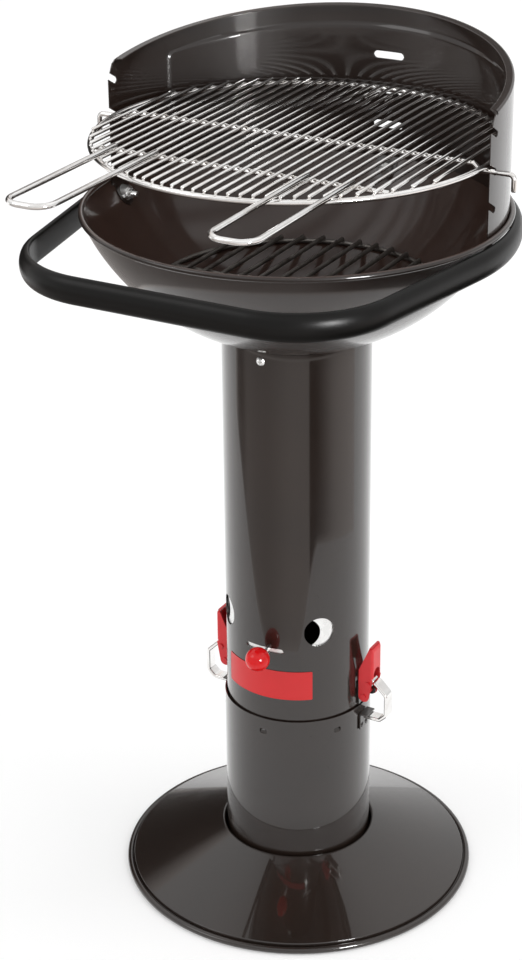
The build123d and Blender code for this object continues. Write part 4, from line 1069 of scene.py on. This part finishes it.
def channel(rise, rear, fore, corner, half):
    """Two grids of (distance from the axis, sideways, height): the U over all rows, and the top."""
    bend = np.linspace(0, np.pi / 2, 6)[1:]
    wall_r = rear[:, None] + (fore - corner - rear)[:, None] * np.linspace(0, 1, 8)
    side_r = np.hstack([wall_r, (fore - corner)[:, None] + corner[:, None] * np.sin(bend)])
    side_t = np.hstack([np.full(wall_r.shape, half), half - corner[:, None] * (1 - np.cos(bend))])
    web_r = np.repeat(fore[:, None], len(SPREAD), 1)
    across_r = np.hstack([side_r, web_r, side_r[:, ::-1]])
    across_t = np.hstack([-side_t, SPREAD * side_t[:, -1:], side_t[:, ::-1]])
    cap_r, cap_t = side_r[-1][:, None], side_t[-1][:, None]
    cap = points_at(cap_r, cap_t * np.concatenate([[-1], SPREAD, [1]]), rise[-1])
    return points_at(across_r, across_t, rise[:, None]), cap


print(len(SPREAD), "points across the web")

# %% [markdown]
# The web of a lever is cut away below, where the hook comes out, and the cut ends in an arch. Faces in
# the cut are dropped, and the points along the arch are moved onto its circle.

# %% Latch levers
ARCH_R, ARCH_RISE, ARCH_MARGIN = mm(8, 3, 3)
for side, mark in SIDES:
    lever_low, lever_high = span(f"{side}_latch_lever")
    pin = middle_of(f"{side}_lever_pin")
    half = lever_high[1]
    lever_grid, cap_grid = channel(*lever_edges(lever_low, lever_high, pin), half)
    points, quads = shell(lever_grid * [mark, 1, 1])
    cap, cap_quads = shell(cap_grid * [mark, 1, 1])
    web_foot = pin[2] + WEB_RISE
    arch_z = web_foot + ARCH_RISE
    _, sideways, height = np.abs(points[quads].mean(1)).T
    open_web = (height < web_foot) & (sideways < half - 0.005 * MM)
    in_arch = (np.hypot(sideways, height - arch_z) < ARCH_R) & (sideways < half - ARCH_MARGIN)
    in_arch &= height > web_foot
    kept = ~(open_web | in_arch)
    edge = np.intersect1d(quads[in_arch], quads[kept])
    edge = edge[points[edge, 2] > web_foot + 0.2 * MM]
    points[edge, 1:] = unit(points[edge, 1:] - [0, arch_z]) * ARCH_R + [0, arch_z]
    flip = slice(None, None, -mark)
    shells = [(points, quads[kept][:, flip]), (cap, cap_quads[:, flip])]
    add_piece(f"{side}_lever", shells, [f"{side}_latch_lever"], red_paint, 1.6 * MM, 0.4 * MM)

# %% [markdown]
# The hook of a latch is a bent strap with a barrel round its pin. The strap is a section with round
# corners carried along the bend, and the barrel is turned round the pin.

# %% Latch hooks
STRAP, STRAP_BEND, STRAP_EDGE, EYE_R, EYE_EDGE = mm(4.0, 5.5, 1.3, 4.6, 1.0)
UPPER_CUT, LOWER_CUT, TOE_DOME, HEEL = mm(12.8, 7.8, 0.9, 0.5)
t = np.linspace(0, np.pi / 2, 6)[1:]
for side, mark in SIDES:
    claw_low, claw_high = span(f"{side}_claw")
    pivot = middle_of(f"{side}_claw_pin") * [1, 0, 1]
    toe_x, far_x = mark * np.sort(np.abs([claw_low[0], claw_high[0]]))
    half = claw_high[1]
    bulge_x = far_x - mark * STRAP / 2
    toe_z = claw_low[2] + STRAP / 2
    strap_x = [pivot[0], bulge_x - mark * UPPER_CUT, bulge_x, bulge_x, bulge_x - mark * LOWER_CUT, toe_x]
    strap_z = [pivot[2], pivot[2], pivot[2] - UPPER_CUT, toe_z + LOWER_CUT, toe_z, toe_z]
    strap_line = bent(points_at(strap_x, 0.0, strap_z), STRAP_BEND)
    square = np.array([(-1, -1), (1, -1), (1, 1), (-1, 1)]) * [STRAP / 2, half]
    strap_section = bent(square, STRAP_EDGE, 5, closed=True)
    heel = strap_line[:1] - [mark * HEEL, 0, 0]
    toe = strap_line[-1] - np.outer(np.sin(t), (mark * TOE_DOME, 0, 0))
    scale = np.concatenate([[0], np.ones(len(strap_line)), np.round(np.cos(t), 6) ** 0.5])
    strap = carried(np.vstack([heel, strap_line, toe]), strap_section, ALONG_Y, scale)
    barrel = bent([(0, -half), (EYE_R, -half), (EYE_R, half), (0, half)], EYE_EDGE, 5)
    eye = turned(barrel, 40, pivot, ALONG_Y, UP, closed=False)
    add_piece(f"{side}_hook", [strap, eye], [f"{side}_claw"], bright_wire)

# %% [markdown]
# The screws at the neck have domed heads with a cross recess. The head is a height over a polar grid:
# the dome minus a cross, whose depth falls off smoothly at its edges.

# %% Neck screws
HEAD_R, HEAD_H, SHANK_R, SHANK = mm(5.0, 3.0, 2.5, 14)
ARM_LONG, ARM_HALF, RECESS = mm(2.6, 0.55, 1.3)
screw_z = middle_of("neck_screws")[2]
dome_r = (HEAD_R**2 + HEAD_H**2) / (2 * HEAD_H)
head_seat = tube_r + 0.05 * MM


def stand_out(angle, along, r, turn, z):
    """Points at a height z, along the outward direction, and r away from it: cos to its right, sin up."""
    out = outward(angle)
    x, y = r * np.cos(turn), r * np.sin(turn)
    return along[..., None] * out + x[..., None] * np.cross(UP, out) + y[..., None] * UP + [0, 0, z]


def cross_head(angle):
    """Screw at an angle round the column: polar grid of radius and turn, height = dome - cross."""
    r, turn = lattice(np.linspace(0, 1, 26) * HEAD_R, full_turn(64))
    x, y = r * np.cos(turn), r * np.sin(turn)
    arms = [np.maximum(np.abs(a) - ARM_LONG, np.abs(b) - ARM_HALF) for a, b in ((x, y), (y, x))]
    cross = RECESS * ramp(-np.minimum(*arms), -0.12 * MM, 0.35 * MM)
    dome = np.sqrt(dome_r**2 - r**2) - dome_r + HEAD_H
    head = stand_out(angle, head_seat + (dome - cross), r, turn, screw_z)
    tip = head_seat - SHANK
    shank = [(HEAD_R, head_seat), (SHANK_R, head_seat), (SHANK_R, tip), (0, tip)]
    out = outward(angle)
    rod = turned(shank, 64, (0, 0, screw_z), out, np.cross(UP, out), closed=False)
    return [shell(head, False, True), rod]


screws = sum([cross_head(angle) for angle in (0, 120, 240)], [])
add_piece("cross_head_screws", screws, ["neck_screws"], zinc)

# %% [markdown]
# Inside the bowl the handle's studs end in nuts. A nut's corners are chamfered: its outline is the
# smaller of the hexagon and a cone, which leaves the curved facets of a real nut. The studs show
# their thread, a ridge whose height runs with the angle and the length together.

# %% Nuts and studs on the handle
NUT_FLAT, NUT_H, STUD_R, THREAD, THREAD_DEPTH = mm(10.0, 5.0, 3.0, 1.0, 0.5)
STUD_LENGTH, STUD_TIP_R = mm(25.9, 2.2)
nut_z = middle_of("handle_nuts")[2]
nut_in = span("handle_nuts")[1][1] - NUT_H
stud_tip = span("handle_studs")[1][1] - 26.0 * MM


def nut(angle):
    """Nut on a stud: rows go round its outline, columns round its axis.

    The radius is the smaller of the outline's limit and the hexagon, half flat / cos(turn from a flat).
    """
    limit = mm(STUD_R / MM + 0.05, 4.6, 5.2, 6.2)
    rise = mm(0.0, 0.0, 0.28, 0.9)
    turn = full_turn(72)
    hexagon = NUT_FLAT / 2 / np.cos(from_nearest(turn, 6))
    r = np.minimum(np.concatenate([limit, limit[::-1]])[:, None], hexagon)
    along = nut_in + np.concatenate([rise, NUT_H - rise[::-1]])[:, None]
    return shell(stand_out(angle, along, r, turn, nut_z), True, True)


def stud(angle):
    """Threaded rod: radius = outside minus a ridge of (length / pitch - turn), closed at both ends."""
    along, turn = lattice(np.linspace(0, STUD_LENGTH, 150), full_turn(24))
    phase = (along / THREAD - turn / (2 * np.pi)) % 1
    r = STUD_R - THREAD_DEPTH * np.abs(2 * phase - 1)
    r[[0, -1]] = 0.0
    r[1] = STUD_TIP_R
    along[1] = along[0]
    along[-1] = along[-2]
    return shell(stand_out(angle, stud_tip + along, r, turn, nut_z), False, True)


add_piece("chamfered_nuts", [nut(angle) for angle in STUD_ANGLES], ["handle_nuts"], zinc, sharp=25)
add_piece("threaded_studs", [stud(angle) for angle in STUD_ANGLES], ["handle_studs"], zinc)

# %% [markdown]
# The CAD nodes that stay, such as the air sleeve, brackets, pins and rivets, have the right shape
# already. They get the finishes made above in place of their plain colours.

# %% Finishes on the CAD nodes
reds = {"red_paint": red_paint, "red_ball": red_ball, "red_label": red_label}
metals = {"bright_wire": bright_wire, "grate_iron": grate_iron, "zinc": zinc}
finishes = {"enamel": enamel, "handle_paint": handle_paint, **metals, **reds}
kept_nodes = [name for name, node in frame["nodes"].items() if not node.hide_render]
for name in kept_nodes:
    for material_slot in frame["nodes"][name].material_slots:
        material_slot.material = finishes[finish_of[name]]
print(len(pieces_made), "pieces,", len(kept_nodes), "CAD nodes kept:", ", ".join(sorted(kept_nodes)))

# %% [markdown]
# The studio is white all round, which is what a dark glossy piece mirrors. The floor is a white plane. To
# the camera and to reflections a part of its light is its own, so it stays white, and the rest is
# received light, which leaves the soft shadow round the foot. The world is white to the camera, a
# little darker low down and overhead to reflections, and plain to everything else.

# %% Floor and world
WHITE = (1.0, 1.0, 1.0, 1.0)
FLOOR_HALF, FLOOR_Z, FLOOR_OWN, PLAIN = 9.0, -0.3 * MM, 0.2, 0.925
scene = bpy.context.scene


def ray_kinds(start):
    """Camera, glossy and transmission rays: 1 on rays of that kind. The last value is 1 on any of them."""
    kinds = ("Camera", "Glossy", "Transmission")
    camera, glossy, through = [start.node("LightPath", output=f"Is {kind} Ray") for kind in kinds]
    return camera, glossy, through, start.math("MINIMUM", camera + glossy + through, 1.0)


def on_stage(name, points, faces, material):
    """Object of the studio, which is no part of the grill."""
    made = bpy.data.objects.new(name, quad_mesh(name, points, faces))
    made.data.materials.append(material)
    scene.collection.objects.link(made)
    return made


floor_white = bpy.data.materials.new("floor_white")
start = empty_tree(floor_white)
seen = ray_kinds(start)[3]
own_light = start.node("Emission", {"Color": WHITE, "Strength": 1.0})
received = start.node("BsdfDiffuse", {"Color": WHITE})
surface = start.node("MixShader", {0: seen * FLOOR_OWN, 1: received, 2: own_light})
start.node("OutputMaterial", {"Surface": surface})
edges = np.array([-FLOOR_HALF, FLOOR_HALF])
on_stage("floor", *shell(points_at(*lattice(edges, edges), FLOOR_Z)), floor_white)

world = bpy.data.worlds.new("white_studio")
scene.world = world
sky = empty_tree(world)
camera_ray, glossy_ray, through_ray, seen = ray_kinds(sky)
direction = sky.node("TexCoord", output="Generated")
height = sky.node("SeparateXYZ", {"Vector": direction}, "Z")
ceiling = 0.70 + height.smooth(0.15, 0.80) * 0.30 - height.smooth(0.85, 1.0) * 0.2
strength = camera_ray + through_ray + glossy_ray * ceiling + (1.0 - seen) * PLAIN
background = sky.node("Background", {"Color": WHITE, "Strength": strength})
sky.node("OutputWorld", {"Surface": background})
print("floor and world ready")

# %% [markdown]
# Three soft boxes give the light a direction. A weak one stands at the left front. A large panel hangs
# high at the right, and its soft shadow falls to the left of the foot. A small low one at the right is
# seen only by reflections, and draws the highlight on the handle bar.

# %% Lamps
def soft_box(name, place, aim, size, power):
    """Rectangular area lamp at a place that faces a point."""
    lamp = bpy.data.lights.new(name, "AREA")
    lamp.shape = "RECTANGLE"
    lamp.size, lamp.size_y = size
    lamp.energy = power
    made = bpy.data.objects.new(name, lamp)
    facing = (Vector(place) - Vector(aim)).to_track_quat("Z", "Y")
    made.matrix_world = Matrix.LocRotScale(Vector(place), facing, None)
    scene.collection.objects.link(made)
    return made


soft_box("left_soft_box", (-1.6, -1.9, 2.2), aim=(0, 0, 0.6), size=(1.3, 1.3), power=9)
sky_panel = soft_box("sky_panel", (5.2, 2.4, 5.4), aim=(0, 0, 0.2), size=(9.0, 4.5), power=175)
sky_panel.visible_glossy = False
low_box = soft_box("low_soft_box", (2.54, -1.59, 1.10), aim=(0, 0, 0.7), size=(0.55, 0.45), power=88)
low_box.visible_diffuse = False
print("three soft boxes")

# %% [markdown]
# A glossy black piece shows what stands round it. Photographers use grey and black cards for that, out of
# the picture. Here a card is a grid with a tone at every point. Only reflections see it, and only from
# its front.

# %% Cards
AZIMUTH = np.radians(28.0)
CARD_TINT = (1.0, 0.93, 0.89, 1)
card_white = bpy.data.materials.new("card_white")
start = empty_tree(card_white)
tone = start.node("Attribute", output="Fac", attribute_name="tone")
glow = start.node("Emission", {"Color": CARD_TINT, "Strength": tone})
rear_side = start.node("NewGeometry", output="Backfacing")
clear = start.node("BsdfTransparent")
surface = start.node("MixShader", {0: rear_side, 1: glow, 2: clear})
start.node("OutputMaterial", {"Surface": surface})


def toward_camera(angle, reach):
    """Floor point at an angle from the camera's side, positive to its right."""
    turn = AZIMUTH + np.radians(angle)
    return np.stack([reach * np.sin(turn), -reach * np.cos(turn)], -1)


def card(name, ground, height, tones):
    """Stage grid over floor points at a height, with a tone at every point."""
    points, faces = shell(points_at(ground[..., 0], ground[..., 1], height))
    made = on_stage(name, points, faces, card_white)
    held = made.data.attributes.new("tone", "FLOAT", "POINT")
    held.data.foreach_set("value", tones.ravel().astype(np.float32))
    for kind in ("camera", "diffuse", "shadow", "transmission"):
        setattr(made, f"visible_{kind}", False)


print("card paper", card_white.name)

# %% [markdown]
# The first card lies on the floor in front. The column mirrors it: its dark part is the stripe down the
# right of the column, and its shade at the far left is the column's dark edge. Its near edge is
# white, so that it fades into the floor, and it stays clear of what the foot mirrors.

# %% Card on the floor
CARD_FAR, CARD_Z, FADE = 4.0, 2 * MM, 0.05
angle = np.linspace(96, -104, 401)
near = 0.63 + 0.78 * np.clip((-45 - angle) / 59, 0, 1) ** 1.7 + 0.32 * ramp(angle, -2, 32)
stripe = ramp(angle, 17, 19.5) - ramp(angle, 24, 62)
left_dark = ramp(angle, -104, -98) - ramp(angle, -92, -78)
left_light = 1 - ramp(angle, -104, -99)
far_tone = 0.50 + 0.25 * ramp(angle, -51, -3) + 0.22 * ramp(angle, 40, 80)
far_tone = far_tone - 0.73 * stripe - 0.33 * left_dark + 0.4 * left_light
steps = np.array([0.0, 0.02, FADE, 0.1, 1.0])
reach = near[:, None] + (CARD_FAR - near)[:, None] * steps**1.5
tones = 1 + (far_tone[:, None] - 1) * np.clip(steps / FADE, 0, 1)
card("floor_card", toward_camera(angle[:, None], reach), CARD_Z, tones)
print("darkest tone", round(float(tones.min()), 2))

# %% [markdown]
# Three cards follow. One stands behind at the left and darkens that side of the foot. One lies below the
# handle for the bowl: its inner edge is the line across the bowl's front, and it is darker towards
# the right. One hangs behind, high up, for the hem of the screen.

# %% Cards behind and below
across, high = lattice(np.linspace(0, 1, 41), np.linspace(0, 1, 31))
beside, above = np.minimum(across, 1 - across) * 6, np.minimum(high * 20 + 0.5, (1 - high) * 4)
soft = np.clip(np.minimum(beside, above), 0, 1)
ground = toward_camera(180 + 64 - 60 * across, 2.3 - 0.2 * across)
card("back_card", ground, 0.03 + 1.95 * high, 1 - 0.97 * soft)

angle, part = lattice(np.linspace(110, -160, 91), [0, 0.01, 0.035, 0.25, 0.5, 0.75, 1.0])
depth = 0.63 + 0.36 * ramp(angle, -2, 30)
tones = 1 - depth * np.clip(np.minimum((part - 0.01) * 40, (1 - part) * 4), 0, 1)
card("under_card", toward_camera(angle, 0.262 + 0.3 * part), 0.58, tones)

across, high = lattice(np.linspace(0, 1, 21), np.linspace(0, 1, 21))
beside, above = np.minimum(across * 9, (1 - across) * 8), np.minimum(high, 1 - high) * 5
soft = np.clip(np.minimum(beside, above), 0, 1)
card("high_card", toward_camera(180 + 8 - 22 * across, 2.2), 1.95 + 0.9 * high, 0.9 - 0.87 * soft)
print("four cards")

# %% [markdown]
# The camera repeats the photograph's viewing angle: a long lens, 28 degrees to the right of the front
# and about 25 degrees above, turned and rolled by about one degree.

# %% Camera
FOCAL_PIXELS, LONG_SIDE, SENSOR = 2266.435, 960, 36.0
PITCH, YAW, ROLL_ANGLE = np.radians([25.18, -1.013, -0.607])
EYE = (0.0, -2.23217, 1.532504)
pose = Matrix.Rotation(AZIMUTH, 4, "Z") @ Matrix.Translation(EYE)
for turn, axis in ((-YAW, "Z"), (np.pi / 2 - PITCH, "X"), (ROLL_ANGLE, "Z")):
    pose = pose @ Matrix.Rotation(turn, 4, axis)
camera = bpy.data.objects.new("camera", bpy.data.cameras.new("camera"))
camera.matrix_world = pose
camera.data.sensor_width = SENSOR
camera.data.lens = FOCAL_PIXELS * SENSOR / LONG_SIDE
scene.collection.objects.link(camera)
scene.camera = camera
scene.view_settings.view_transform = "Standard"
print("lens", round(camera.data.lens, 2), "mm")

# %% Update the scene
bpy.context.view_layer.update()
